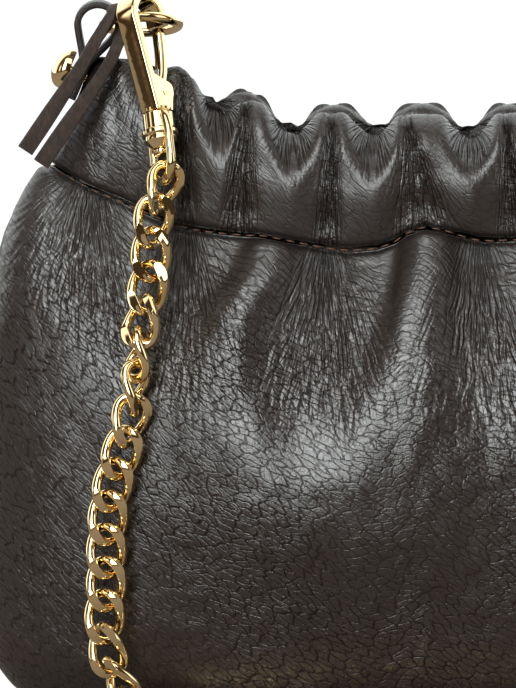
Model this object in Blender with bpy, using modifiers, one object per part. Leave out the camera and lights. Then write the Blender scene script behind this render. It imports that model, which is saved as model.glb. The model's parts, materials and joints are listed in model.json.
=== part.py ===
"""A gathered leather shoulder bag with a curb chain strap, clipped on at both ends.

The bag stands on its base, +Z up, with its front towards -Y and its origin at the middle of
the underside. Sizes are in metres. The strap falls from each side clasp over the belly, lands
on the table in front of the base and meets itself in the middle.
"""
import math

import bmesh
import bpy
import numpy as np
from mathutils import Matrix, Vector

# Driving sizes of the bag
BAG_WIDTH = 0.269
BAG_DEPTH = 0.087
SEAM_HEIGHT = 0.1155
CHANNEL_HEIGHT = 0.0265
SEAM_RISE = 0.0150
RIM_RISE = 0.0140
RISE_STARTS = 0.0600
SEAM_RISE_RUN = 0.0570
RIM_RISE_RUN = 0.0365
PLAN_EXPONENT = 2.05

# Leather, lining and stiffener
LEATHER = 0.0018
CHANNEL_LEATHER = 0.0014
LINING = 0.0008
SEAM_GAP = 0.0003
SHEET_GAP = 0.0005
BASE_LEATHER = 0.0022
BASE_EDGE = 0.0008
BOARD = 0.0020
BOARD_INSET = 0.0060

# Gathers of the channel
GATHER_PITCH = 0.0204
GATHER_DEPTH = 0.0019
GATHER_LIFT = 0.0018
GATHERED_WIDTH = 0.0940

# Elastic, pocket and magnets
ELASTIC = 0.0012
POCKET_WIDTH = 0.1100
POCKET = 0.0010
MAGNET_RADIUS = 0.0070
MAGNET_THICK = 0.0022

# Side tab, its ball stud and the ring
TAB_WIDTH = 0.0064
TAB_LEATHER = 0.0016
RING_RADIUS = 0.00865
RING_WIRE = 0.0025
RING_INBOARD = 0.0008
RING_ABOVE_RIM = 0.0080
RING_TILT = 17.8
TAB_LOOP = 0.0048
STUD_RADIUS = 0.0048
STUD_RISE = 0.0040
STUD_RIM = 0.0009
STUD_POST = 0.0013
STUD_FOOT = 0.0017
STUD_FOOT_THICK = 0.0007
STUD_SEAT = 0.0022
RUNNING_GAP = 0.0003

# Split leather thong on the ring
THONG_WIDTH = 0.0028
THONG_THICK = 0.0017
THONG_TURN = 53.5

# Trigger clasp, measured from the top of its swivel barrel
CLASP_THICK = 0.0050
CLASP_ARM = 0.0023
CLASP_TOP = 0.0300
CLASP_LEFT = 0.0087
CLASP_RIGHT = 0.0052
CLASP_FOOT = 0.0019
CLASP_EDGE = 0.0004
CHEEK = 0.0008
CHEEK_REACH = 0.0041
CHEEK_HEIGHT = 0.0092
RIVET_X = 0.0006
RIVET_Z = 0.0049
RIVET_RADIUS = 0.0010
GATE_BAR = 0.0024
GATE_EYE = 0.0019
HOOK_DROP = 0.0053
HOOK_ASIDE = 0.0014
HOOK_SLIDE = 0.0004
HOOK_TURN = 89.0
CLASP_STANDOFF = 0.0054
CLASP_LEAN_SIDE = 6.5
CLASP_TURN = 58.0
SPRING = 0.0004

# Swivel barrel and its bail
BARREL_RADIUS = 0.0037
BARREL_LENGTH = 0.0086
FLANGE_RADIUS = 0.0043
NECK_RADIUS = 0.0022
SHANK_RADIUS = 0.0013
KNOB_RADIUS = 0.0021
KNOB_LENGTH = 0.0014
FOOT_RADIUS = 0.0033
FOOT_THICK = 0.0011
BAIL_WIRE = 0.0023
BAIL_REACH = 0.0163
BAIL_HALF = 0.0046
BAIL_TURN = -119.0

# Curb chain
LINK_PITCH = 0.0078
LINK_WIRE = 0.0024
LINK_PLAY = 0.0012
LINK_BITE = 0.0009
LINK_HALF_WIDTH = 0.0037
LINK_TWIST = 0.0015
LINK_FLAT = 0.0020
CHAIN_CLEARANCE = 0.0011
LANDING_RADIUS = 0.0240
LANDING_HEADING = 20.0
RUN_FRONT = 0.0560
RUN_TURN_RADIUS = 0.0700
TABLE_GAP = 0.0003
STRAP_OPEN_GAP = 0.0006

PARTS = "gathered_chain_bag"


def collection(name):
    """Return a new collection linked to the scene."""
    made = bpy.data.collections.new(name)
    bpy.context.scene.collection.children.link(made)
    return made


def finish(name, colour, roughness, metallic):
    """Return a Principled material."""
    made = bpy.data.materials.new(name)
    made.use_nodes = True
    shader = made.node_tree.nodes["Principled BSDF"]
    shader.inputs["Base Color"].default_value = (*colour, 1.0)
    shader.inputs["Roughness"].default_value = roughness
    shader.inputs["Metallic"].default_value = metallic
    return made


def clear_scene():
    """Start from an empty scene."""
    for obj in list(bpy.data.objects):
        bpy.data.objects.remove(obj, do_unlink=True)


clear_scene()
parts = collection(PARTS)
cutters = collection("cutters")
LEATHER_FINISH = finish("pebbled_brown_leather", (0.035, 0.024, 0.021), 0.45, 0.0)
EDGE_FINISH = finish("cut_brown_leather", (0.075, 0.055, 0.045), 0.70, 0.0)
LINING_FINISH = finish("lining_cotton", (0.10, 0.075, 0.06), 0.85, 0.0)
BOARD_FINISH = finish("grey_board", (0.28, 0.26, 0.24), 0.90, 0.0)
ELASTIC_FINISH = finish("black_elastic", (0.02, 0.02, 0.02), 0.80, 0.0)
GOLD_FINISH = finish("polished_gold_plate", (0.83, 0.60, 0.26), 0.15, 1.0)
STEEL_FINISH = finish("nickel_steel", (0.55, 0.54, 0.52), 0.30, 1.0)


def add_object(name, mesh, material, matrix=None, smooth=True):
    """Link a mesh as one named sub-part."""
    obj = bpy.data.objects.new(name, mesh)
    parts.objects.link(obj)
    mesh.materials.append(material)
    if smooth:
        mesh.shade_smooth()
        mesh.set_sharp_from_angle(angle=math.radians(40))
    if matrix is not None:
        obj.matrix_world = matrix
    return obj


def grid_mesh(name, points, close_rows=False, close_columns=False):
    """Make a mesh from an array of points[row, column, xyz], joined as quads."""
    rows, columns = points.shape[:2]
    index = np.arange(rows * columns).reshape(rows, columns)
    if close_rows:
        index = np.concatenate([index, index[:, :1]], axis=1)
    if close_columns:
        index = np.concatenate([index, index[:1]], axis=0)
    quads = np.stack([index[:-1, :-1], index[:-1, 1:], index[1:, 1:], index[1:, :-1]], axis=-1)
    mesh = bpy.data.meshes.new(name)
    mesh.from_pydata(points.reshape(-1, 3).tolist(), [], quads.reshape(-1, 4).tolist())
    mesh.update()
    return mesh


def thicken(obj, thickness, inwards=True):
    """Give an open sheet its wall with Solidify."""
    wall = obj.modifiers.new("wall", "SOLIDIFY")
    wall.thickness = thickness
    wall.offset = -1.0 if inwards else 1.0
    wall.use_even_offset = False
    return wall


def as_cutter(obj):
    """Move an object to the cutters, which the model leaves out."""
    parts.objects.unlink(obj)
    cutters.objects.link(obj)
    obj.hide_render = True
    obj.display_type = "WIRE"
    return obj


def combine(target, other, operation):
    """Cut one object with another, or join them."""
    boolean = target.modifiers.new(other.name, "BOOLEAN")
    boolean.operation = operation
    boolean.solver = "EXACT"
    boolean.object = other


def smooth_share(shares, at):
    """Read a Catmull-Rom curve through evenly spaced shares."""
    shares = np.asarray(shares, float)
    padded = np.concatenate([[2 * shares[0] - shares[1]], shares, [2 * shares[-1] - shares[-2]]])
    place = np.clip(np.asarray(at, float), 0, 1) * (len(shares) - 1)
    first = np.minimum(place.astype(int), len(shares) - 2)
    t = place - first
    a, b, c, d = (padded[first + n] for n in range(4))
    return 0.5 * (2 * b + (c - a) * t + (2 * a - 5 * b + 4 * c - d) * t**2
                  + (3 * b - a - 3 * c + d) * t**3)


# The belly from the base edge up to the seam, as shares of the bag's sizes
BELLY_HEIGHT_SHARES = (0.0, 0.10, 0.27, 0.48, 0.70, 0.87, 1.0)
BELLY_WIDTH_SHARES = (0.84, 0.905, 0.965, 1.0, 0.995, 0.950, 0.880)
BELLY_DEPTH_SHARES = (0.78, 0.90, 0.99, 1.0, 0.89, 0.68, 0.47)

# The channel folds up from the seam, over the rim and back down inside
CHANNEL_HEIGHT_SHARES = (0.015, 0.20, 0.46, 0.72, 0.92, 1.0, 0.93, 0.70, 0.36, 0.03)
CHANNEL_WIDTH_SHARES = (0.878, 0.866, 0.847, 0.825, 0.806, 0.788, 0.770, 0.758, 0.772, 0.786)
CHANNEL_DEPTH_SHARES = (0.475, 0.530, 0.505, 0.415, 0.305, 0.215, 0.130, 0.170, 0.260, 0.325)
CHANNEL_GATHER_SHARES = (0.15, 0.75, 1.0, 1.0, 0.8, 0.55, 0.3, 0.2, 0.1, 0.0)
ELASTIC_HEIGHT_SHARES = (0.20, 0.62)
RIM_ROW = CHANNEL_HEIGHT_SHARES.index(max(CHANNEL_HEIGHT_SHARES))


def rise(x, run, power):
    """Return the share by which an edge has risen towards the side ends."""
    return np.clip((np.abs(x) - RISE_STARTS) / run, 0, None) ** power


def seam_level(x):
    """Return the height of the seam under the channel."""
    return SEAM_HEIGHT + SEAM_RISE * rise(x, SEAM_RISE_RUN, 2.0)


def rim_level(x):
    """Return the height of the rim, which levels off near the tabs."""
    share = np.minimum(rise(x, RIM_RISE_RUN, 1.3), 1.0)
    return SEAM_HEIGHT + CHANNEL_HEIGHT + RIM_RISE * share


def plan(half_width, half_depth, turn):
    """Return x and y on the bag's plan outline, from the left seam round the front."""
    c, s = np.cos(turn), np.sin(turn)
    x = -half_width * np.sign(c) * np.abs(c) ** (2 / PLAN_EXPONENT)
    y = -half_depth * np.sign(s) * np.abs(s) ** (2 / PLAN_EXPONENT)
    return x, y


def belly_points(levels, turns):
    """Return the belly's outer face as points[level, turn]."""
    level, turn = np.meshgrid(levels, turns, indexing="ij")
    half_width = BAG_WIDTH / 2 * smooth_share(BELLY_WIDTH_SHARES, level)
    half_depth = BAG_DEPTH / 2 * smooth_share(BELLY_DEPTH_SHARES, level)
    height = smooth_share(BELLY_HEIGHT_SHARES, level)
    x, y = plan(half_width, half_depth, turn)
    foot = BASE_LEATHER + SHEET_GAP
    lift = SEAM_RISE * rise(x, SEAM_RISE_RUN, 2.0) * height**3
    return np.stack([x, y, foot + (SEAM_HEIGHT - foot) * height + lift], axis=-1)


def gather_wave(x):
    """Return the gathers' wave: crests beside the middle, fading out at the side ends."""
    fade = np.clip((GATHERED_WIDTH - np.abs(x)) / GATHER_PITCH, 0, 1)
    return -np.cos(2 * np.pi * x / GATHER_PITCH) * fade * fade * (3 - 2 * fade)


def channel_points(rows, turns):
    """Return the channel's outer face as points[row, turn], over the rim and back down."""
    row, turn = np.meshgrid(rows, turns, indexing="ij")
    half_width = BAG_WIDTH / 2 * smooth_share(CHANNEL_WIDTH_SHARES, row)
    half_depth = BAG_DEPTH / 2 * smooth_share(CHANNEL_DEPTH_SHARES, row)
    x, y = plan(half_width, half_depth, turn)
    wave = gather_wave(x) * smooth_share(CHANNEL_GATHER_SHARES, row)
    height = smooth_share(CHANNEL_HEIGHT_SHARES, row)
    low, high = seam_level(x), rim_level(x)
    z = low + (high - low) * height + GATHER_LIFT * wave * height
    return np.stack([x, y - GATHER_DEPTH * wave * np.sin(turn), z], axis=-1)


def face_normals(points):
    """Return unit normals of a grid, out of its front face."""
    along = np.gradient(points, axis=1)
    up = np.gradient(points, axis=0)
    normal = np.cross(along, up)
    return normal / np.linalg.norm(normal, axis=-1, keepdims=True)


def inset(points, depth):
    """Move a grid inwards along its normals."""
    return points - depth * face_normals(points)


def even_turns(count):
    """Return turns from the left seam to the right seam."""
    return np.linspace(0, math.pi, count)


def all_round(turns):
    """Repeat the front's turns round the back, back to the left seam."""
    return np.concatenate([turns, math.pi + turns[1:-1]])


def turns_at_even_x(count):
    """Return turns whose places are evenly spaced along the bag's length."""
    shares = np.linspace(-1, 1, count)
    return np.arccos(-np.sign(shares) * np.abs(shares) ** (PLAN_EXPONENT / 2))


PANEL_LEVELS = np.linspace(0, 1, 8)
PANEL_TURNS = np.delete(even_turns(21), (9, 11))
CHANNEL_ROWS = np.array((0.0, 1.0, 2.3, 3.7, 5.0, 6.0, 7.4, 9.0)) / 9
CHANNEL_TURNS = np.concatenate([even_turns(61)[:4:2], turns_at_even_x(42)[2:-2],
                                even_turns(61)[57::2]])


def half_box(front):
    """Return the cutter that takes away the other half of the bag at the side seams."""
    reach = Vector((2 * BAG_WIDTH, BAG_DEPTH, 2 * BAG_WIDTH))
    side = 1.0 if front else -1.0
    middle = Vector((0.0, side * (reach.y - SEAM_GAP) / 2, 0.0))
    mesh = bpy.data.meshes.new("half_box")
    form = bmesh.new()
    bmesh.ops.create_cube(form, size=1.0)
    bmesh.ops.scale(form, vec=reach, verts=form.verts)
    form.to_mesh(mesh)
    form.free()
    name = "behind_the_front" if front else "before_the_back"
    return as_cutter(add_object(name, mesh, STEEL_FINISH, Matrix.Translation(middle)))


def make_half(name, points, thickness, cutter):
    """One half of a leather band: the band all round, cut off at the side seams."""
    half = add_object(name, grid_mesh(name, points, close_rows=True), LEATHER_FINISH)
    thicken(half, thickness)
    combine(half, cutter, "DIFFERENCE")


def make_outside():
    """Front and back panels, and the gathered channels folded over the rim above them."""
    belly = belly_points(PANEL_LEVELS, all_round(PANEL_TURNS))
    channel = channel_points(CHANNEL_ROWS, all_round(CHANNEL_TURNS))
    for half, front in (("front", True), ("back", False)):
        cutter = half_box(front)
        make_half(half + "_panel", belly, LEATHER, cutter)
        make_half(half + "_channel", channel, CHANNEL_LEATHER, cutter)


def closed_inset(points, depth):
    """Move a grid that closes round the bag inwards along its normals."""
    padded = np.concatenate([points[:, -1:], points, points[:, :1]], axis=1)
    return inset(padded, depth)[:, 1:-1]


def oval_plate(name, half_width, half_depth, low, thickness, edge, material):
    """Flat oval plate with rounded edges."""
    mesh = bpy.data.meshes.new(name)
    form = bmesh.new()
    bmesh.ops.create_circle(form, cap_ends=True, radius=1.0, segments=28)
    for vert in form.verts:
        turn = math.atan2(vert.co.y, vert.co.x)
        x, y = plan(half_width, half_depth, np.array(turn))
        vert.co = Vector((-float(x), math.copysign(float(-y), vert.co.y), 0.0))
    form.to_mesh(mesh)
    form.free()
    plate = add_object(name, mesh, material, Matrix.Translation((0.0, 0.0, low)))
    thicken(plate, thickness, inwards=False)
    rounding = plate.modifiers.new("edge", "BEVEL")
    rounding.width = edge
    rounding.segments = 1
    return plate


def base_half_sizes():
    """Return the half width and half depth of the base outline."""
    return BAG_WIDTH / 2 * BELLY_WIDTH_SHARES[0], BAG_DEPTH / 2 * BELLY_DEPTH_SHARES[0]


def board_top():
    """Return the height of the base board's upper face."""
    return BASE_LEATHER + SHEET_GAP + BOARD


def make_base():
    """Leather base and the stiffening board that lies on it."""
    half_width, half_depth = base_half_sizes()
    oval_plate("base_panel", half_width, half_depth, 0.0, BASE_LEATHER, BASE_EDGE,
               LEATHER_FINISH)
    oval_plate("base_board", half_width - BOARD_INSET, half_depth - BOARD_INSET,
               BASE_LEATHER + SHEET_GAP, BOARD, SHEET_GAP, BOARD_FINISH)


LINING_LEVELS = np.append(PANEL_LEVELS[[1, 3, 5, 6]], 0.985)
LINING_TURNS = all_round(even_turns(11))


def lining_wall():
    """Return the lining's outer face as points[level, turn]."""
    return closed_inset(belly_points(LINING_LEVELS, LINING_TURNS), LEATHER + SHEET_GAP)


def make_lining():
    """Cotton lining: a wall with a flat floor on the base board."""
    wall = lining_wall()
    floor = closed_inset(belly_points(LINING_LEVELS - LINING_LEVELS[0], LINING_TURNS),
                         LEATHER + SHEET_GAP)[:1]
    floor[..., 2] = board_top() + SHEET_GAP
    points = np.concatenate([floor, wall])
    mesh = grid_mesh("lining_bag", points, close_rows=True)
    form = bmesh.new()
    form.from_mesh(mesh)
    form.verts.ensure_lookup_table()
    form.faces.new([form.verts[n] for n in reversed(range(points.shape[1]))])
    form.to_mesh(mesh)
    form.free()
    lining = add_object("lining_bag", mesh, LINING_FINISH)
    thicken(lining, LINING)


def channel_middle(heights, turns):
    """Return a grid midway between the channel's outer and inner legs, without gathers."""
    rows = np.linspace(0, 1, len(CHANNEL_HEIGHT_SHARES))
    outer = np.interp(heights, CHANNEL_HEIGHT_SHARES[:RIM_ROW + 1], rows[:RIM_ROW + 1])
    inner = np.interp(heights, CHANNEL_HEIGHT_SHARES[:RIM_ROW - 1:-1],
                      rows[:RIM_ROW - 1:-1])
    half_sizes = [(smooth_share(shares, outer) + smooth_share(shares, inner)) / 2
                  for shares in (CHANNEL_WIDTH_SHARES, CHANNEL_DEPTH_SHARES)]
    x, y = plan(BAG_WIDTH / 2 * half_sizes[0][:, None], BAG_DEPTH / 2 * half_sizes[1][:, None],
                turns[None])
    low, high = seam_level(x), rim_level(x)
    return np.stack([x, y, low + (high - low) * np.asarray(heights)[:, None]], axis=-1)


def make_elastic():
    """Elastic that draws the channel in, a closed band inside both channels."""
    points = channel_middle(ELASTIC_HEIGHT_SHARES, all_round(even_turns(21)))
    band = add_object("gather_elastic", grid_mesh("gather_elastic", points, close_rows=True),
                      ELASTIC_FINISH)
    thicken(band, ELASTIC)


def make_pocket():
    """Slip pocket sewn to the lining's back wall, on the same grid as the lining."""
    turns = LINING_TURNS[LINING_TURNS > math.pi]
    turns = turns[np.abs(np.cos(turns)) < POCKET_WIDTH / BAG_WIDTH]
    belly = closed_inset(belly_points(LINING_LEVELS, LINING_TURNS),
                         LEATHER + LINING + 2 * SHEET_GAP)
    points = belly[:-2, np.isin(LINING_TURNS, turns)]
    pocket = add_object("slip_pocket", grid_mesh("slip_pocket", points), LINING_FINISH)
    thicken(pocket, POCKET)


def make_magnets():
    """Two magnet buttons that close the mouth, one on each wall of the lining."""
    turns = np.array([0.49, 0.5, 0.51]) * math.pi
    belly = belly_points(np.array([0.86, 0.88, 0.90]), turns)
    depth = LEATHER + LINING + 4 * SHEET_GAP + MAGNET_THICK / 2
    place = Vector(inset(belly, depth)[1, 1])
    normal = Vector(face_normals(belly)[1, 1])
    for name, mirror in (("magnet_front", 1.0), ("magnet_back", -1.0)):
        mesh = bpy.data.meshes.new(name)
        form = bmesh.new()
        bmesh.ops.create_cone(form, cap_ends=True, segments=16, radius1=MAGNET_RADIUS,
                              radius2=MAGNET_RADIUS, depth=MAGNET_THICK)
        form.to_mesh(mesh)
        form.free()
        axis = Vector((normal.x, normal.y * mirror, normal.z))
        matrix = axis.to_track_quat("Z", "Y").to_matrix().to_4x4()
        matrix.translation = Vector((place.x, place.y * mirror, place.z))
        add_object(name, mesh, STEEL_FINISH, matrix)


def outward(mesh):
    """Turn the faces of a closed mesh outwards."""
    form = bmesh.new()
    form.from_mesh(mesh)
    bmesh.ops.recalc_face_normals(form, faces=form.faces)
    form.to_mesh(mesh)
    form.free()
    return mesh


def sweep(name, path, wide, width, thickness):
    """Make a flat strap: a box section carried along a path, wide along the given axes."""
    path = np.asarray(path, float)
    tangent = np.gradient(path, axis=0)
    tangent /= np.linalg.norm(tangent, axis=1, keepdims=True)
    wide = np.broadcast_to(np.asarray(wide, float), path.shape)
    wide = wide - np.sum(wide * tangent, axis=1, keepdims=True) * tangent
    wide = wide / np.linalg.norm(wide, axis=1, keepdims=True)
    thick = np.cross(tangent, wide)
    corners = np.array([(-0.5, -0.5), (0.5, -0.5), (0.5, 0.5), (-0.5, 0.5)])
    section = (path[:, None] + corners[None, :, :1] * width * wide[:, None]
               + corners[None, :, 1:] * thickness * thick[:, None])
    mesh = grid_mesh(name, section, close_rows=True)
    form = bmesh.new()
    form.from_mesh(mesh)
    form.verts.ensure_lookup_table()
    form.faces.new(form.verts[:4])
    form.faces.new(form.verts[-4:])
    form.to_mesh(mesh)
    form.free()
    return outward(mesh)


def turned(name, profile, segments, material, matrix):
    """Turn a profile of radii and heights, listed down its outer side, round local Z."""
    mesh = bpy.data.meshes.new(name)
    edges = [(n, n + 1) for n in range(len(profile) - 1)]
    if profile[0][0] > 0:
        edges.append((len(profile) - 1, 0))
    mesh.from_pydata([(radius, 0.0, height) for radius, height in profile], edges, [])
    obj = add_object(name, mesh, material, matrix, smooth=False)
    screw = obj.modifiers.new("turn", "SCREW")
    screw.steps = segments
    screw.render_steps = segments
    screw.use_merge_vertices = True
    screw.merge_threshold = 0.00001
    return obj


def prism(name, outline, low, high, material, matrix):
    """Extrude an outline in the XZ plane between two places along Y."""
    mesh = bpy.data.meshes.new(name)
    form = bmesh.new()
    face = form.faces.new([form.verts.new((x, low, z)) for x, z in outline])
    grown = bmesh.ops.extrude_face_region(form, geom=[face])["geom"]
    moved = [item for item in grown if isinstance(item, bmesh.types.BMVert)]
    bmesh.ops.translate(form, verts=moved, vec=(0.0, high - low, 0.0))
    form.to_mesh(mesh)
    form.free()
    return add_object(name, outward(mesh), material, matrix, smooth=False)


def frame_matrix(x_axis, y_axis, z_axis, origin):
    """Return the matrix of a frame with the given axes and origin."""
    matrix = Matrix((x_axis, y_axis, z_axis)).transposed().to_4x4()
    matrix.translation = Vector(origin)
    return matrix


def wall_point(row, offset, side):
    """Return a point a given distance out of the channel's end wall, in the side seam's plane."""
    step = 0.01
    rows = (row + np.array([-step, 0.0, step])) / (len(CHANNEL_HEIGHT_SHARES) - 1)
    low, middle, high = channel_points(rows, np.array([0.0]))[:, 0]
    along = Vector(high - low).normalized()
    out = Vector((-along.z, 0.0, along.x))
    place = Vector((middle[0], 0.0, middle[2])) + offset * out
    return Vector((-side * place.x, 0.0, place.z)), Vector((-side * out.x, 0.0, out.z))


# Places up the end wall, counted in the channel's rows
TAB_INNER_ROW_SHARES = (2.7, 3.1, 3.5, 3.9, 4.3, 4.6)
TAB_OUTER_ROW_SHARES = (4.2, 3.8, 3.4, 3.0, 2.6)
STUD_ROW_SHARE = 3.55


def ring_height():
    """Return the height of the ring's centre and of its pivot in the tab."""
    return float(rim_level(BAG_WIDTH / 2)) + RING_ABOVE_RIM


def ring_pivot_x():
    """Return how far out the ring's pivot stands, just inside the rim's end."""
    return BAG_WIDTH / 2 * CHANNEL_WIDTH_SHARES[RIM_ROW] - RING_INBOARD


def make_tab(side, name):
    """Leather tab: up the end wall, round the ring and down again over itself."""
    inner = RUNNING_GAP + TAB_LEATHER / 2
    outer = inner + RUNNING_GAP + TAB_LEATHER
    path = [wall_point(row, inner, -1)[0] for row in TAB_INNER_ROW_SHARES]
    bow = RING_RADIUS - math.sqrt(RING_RADIUS**2 - TAB_WIDTH**2 / 4)
    slack = TAB_LOOP - RING_WIRE / 2 - bow - 2 * RUNNING_GAP - TAB_LEATHER / 2
    middle = Vector((-ring_pivot_x() - slack, 0.0, ring_height()))
    for turn in np.radians(np.linspace(-35, 195, 11)):
        path.append(middle + TAB_LOOP * Vector((math.cos(turn), 0.0, math.sin(turn))))
    path += [wall_point(row, outer, -1)[0] for row in TAB_OUTER_ROW_SHARES]
    path = np.array(path) * np.array([-side, 1.0, 1.0])
    return add_object(name, sweep(name, path, (0.0, 1.0, 0.0), TAB_WIDTH, TAB_LEATHER),
                      LEATHER_FINISH)


def stud_matrix(side):
    """Return the stud's frame: local Z out of the end wall."""
    place, out = wall_point(STUD_ROW_SHARE, 0.0, side)
    across = Vector((0.0, 1.0, 0.0))
    return frame_matrix(across, out.cross(across), out, place)


def make_stud(side, name, pierced):
    """Domed stud whose post runs through the tab and the end wall to a riveted foot."""
    matrix = stud_matrix(side)
    base = 4 * RUNNING_GAP + 2 * TAB_LEATHER
    foot = -CHANNEL_LEATHER - STUD_SEAT
    dome = [(STUD_RADIUS * math.sin(turn),
             base + STUD_RIM + (STUD_RISE - STUD_RIM) * math.cos(turn))
            for turn in np.radians((0, 30, 60, 90))]
    profile = dome + [(STUD_RADIUS, base), (STUD_POST, base), (STUD_POST, foot),
                      (STUD_FOOT, foot), (STUD_FOOT, foot - STUD_FOOT_THICK),
                      (0.0, foot - STUD_FOOT_THICK)]
    turned(name, profile, 12, GOLD_FINISH, matrix)
    hole = STUD_POST + RUNNING_GAP
    reach = base + RUNNING_GAP
    deep = foot - STUD_FOOT_THICK
    drill = as_cutter(turned(name + "_drill", [(0.0, reach), (hole, reach), (hole, deep),
                                               (0.0, deep)], 10, GOLD_FINISH, matrix))
    for obj in pierced:
        combine(obj, drill, "DIFFERENCE")


def ring_frame(side):
    """Return the ring's centre, its inboard direction and its forward direction."""
    tilt = math.radians(RING_TILT)
    centre = Vector((side * (ring_pivot_x() - RING_RADIUS), 0.0, ring_height()))
    return centre, Vector((-side, 0.0, 0.0)), Vector((0.0, -math.cos(tilt), math.sin(tilt)))


def ring_point(side, turn):
    """Return a point on the ring's wire, with its directions inwards and along the wire."""
    centre, inboard, forward = ring_frame(side)
    out = -math.cos(math.radians(turn)) * inboard + math.sin(math.radians(turn)) * forward
    along = math.sin(math.radians(turn)) * inboard + math.cos(math.radians(turn)) * forward
    return centre + RING_RADIUS * out, -out, along


def make_ring(side, name):
    """Round wire ring held by the tab."""
    centre, inboard, forward = ring_frame(side)
    bpy.ops.mesh.primitive_torus_add(major_radius=RING_RADIUS, minor_radius=RING_WIRE / 2,
                                     major_segments=20, minor_segments=6)
    ring = bpy.context.object
    ring.name = name
    for holder in list(ring.users_collection):
        holder.objects.unlink(ring)
    parts.objects.link(ring)
    ring.data.materials.append(GOLD_FINISH)
    ring.data.shade_smooth()
    ring.matrix_world = frame_matrix(inboard, forward, inboard.cross(forward), centre)


# The thong's hanging ends, from the fold down: out of the ring's middle, forwards and up,
# as shares of the ring's radius
THONG_OUTER_SHARES = ((-1.22, 0.98, -0.35), (-1.62, 1.16, -1.03), (-2.38, 1.32, -2.18),
                      (-3.13, 1.42, -3.29))
THONG_INNER_SHARES = ((-0.76, 0.80, -0.78), (-1.16, 1.22, -1.42), (-1.93, 1.46, -2.52),
                      (-2.70, 1.52, -3.64))
THONG_WIDE_SHARES = (0.83, 0.05, -0.55)


def make_thong(side, name):
    """Split leather thong, folded over the ring with two hanging ends."""
    centre = ring_frame(side)[0]
    wire, inwards, along = ring_point(side, THONG_TURN)
    up = inwards.cross(along)
    up = up if up.z > 0 else -up
    reach = RING_WIRE / 2 + 2 * RUNNING_GAP + THONG_THICK / 2
    fold = [wire + reach * (math.sin(turn) * up - math.cos(turn) * inwards)
            for turn in np.radians(np.linspace(0, 180, 6))]
    mirror = Vector((-side, -1.0, 1.0))
    outer, inner = ([centre + RING_RADIUS * Vector(shares) * mirror for shares in end]
                    for end in (THONG_OUTER_SHARES, THONG_INNER_SHARES))
    path = outer[::-1] + fold + inner
    legs = Vector(THONG_WIDE_SHARES) * Vector((-side, 1.0, 1.0))
    across = along if along.dot(legs) > 0 else -along
    wide = [legs] * len(outer) + [across] * len(fold) + [legs] * len(inner)
    add_object(name, sweep(name, path, wide, THONG_WIDTH, THONG_THICK), EDGE_FINISH)


ARCH_RADIUS = (CLASP_LEFT + CLASP_RIGHT - CLASP_ARM) / 2
ARCH_X = (CLASP_RIGHT - CLASP_LEFT) / 2
ARCH_Z = CLASP_TOP - CLASP_ARM / 2 - ARCH_RADIUS


def clasp_lean():
    """Return how far the clasp leans forwards, over the fullest part of the channel."""
    x = ring_pivot_x() - RING_RADIUS
    low, high = seam_level(x), rim_level(x)
    bulge = CHANNEL_HEIGHT_SHARES[CHANNEL_DEPTH_SHARES.index(max(CHANNEL_DEPTH_SHARES))]
    depth = float(front_depth([x], [low + (high - low) * bulge])[0]) + CLASP_STANDOFF
    return math.asin((depth - RING_RADIUS * math.cos(math.radians(RING_TILT))) / hook_height())


def hook_height():
    """Return how high the hook's bearing on the ring stands above the clasp's origin."""
    return CLASP_TOP - CLASP_ARM - HOOK_DROP + RING_WIRE / 2


def clasp_matrix(side):
    """Return the clasp's frame: X from arm to gate, Z up its axis, origin on the barrel."""
    out, aside = clasp_lean(), math.radians(CLASP_LEAN_SIDE)
    up = Vector((side * math.sin(aside), math.sin(out) * math.cos(aside),
                 math.cos(out) * math.cos(aside)))
    turn = math.radians(CLASP_TURN)
    across = Vector((-side * math.cos(turn), math.sin(turn), 0.0))
    across = (across - across.dot(up) * up).normalized()
    hook = ring_point(side, HOOK_TURN)[0]
    through = up.cross(across)
    origin = (hook - (ARCH_X - HOOK_ASIDE) * across - hook_height() * up
              - side * HOOK_SLIDE * through)
    return frame_matrix(across, through, up, origin)


# Outlines of the cheek, of the gate's bar and of its spring, as shares of the clasp's sizes
CHEEK_SHARES = ((-0.68, 0.09), (0.80, 0.09), (1.0, 0.28), (1.0, 0.76), (0.80, 0.86), (-0.95, 1.0))
GATE_PATH_SHARES = ((0.13, 0.163), (0.45, 0.27), (0.66, 0.40), (0.75, 0.55), (0.745, 0.735))
SPRING_PATH_SHARES = ((-0.42, 0.247), (-0.19, 0.263), (0.06, 0.307), (0.20, 0.373))


def clasp_arm_path():
    """Return the arm's middle line: up from the foot, round the arch to the gate."""
    arch = np.radians(np.linspace(180, -4, 9))
    path = [(-CLASP_FOOT, 0.0, FOOT_THICK / 2)]
    path += [(ARCH_X + ARCH_RADIUS * math.cos(turn), 0.0, ARCH_Z + ARCH_RADIUS * math.sin(turn))
             for turn in arch]
    return path


def clasp_shares_path(shares):
    """Return a path in the clasp's plane from shares of its reach and height."""
    return [(x * CLASP_RIGHT, 0.0, z * CLASP_TOP) for x, z in shares]


def rivet_drill(name, radius, half_length, matrix):
    """Return a round bar along the clasp's Y through the gate's pivot."""
    pivot = matrix @ Matrix.Translation((RIVET_X, 0.0, RIVET_Z))
    pivot = pivot @ Matrix.Rotation(math.radians(-90), 4, "X")
    profile = [(0.0, half_length), (radius, half_length), (radius, -half_length),
               (0.0, -half_length)]
    return turned(name, profile, 12, GOLD_FINISH, pivot)


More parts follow.
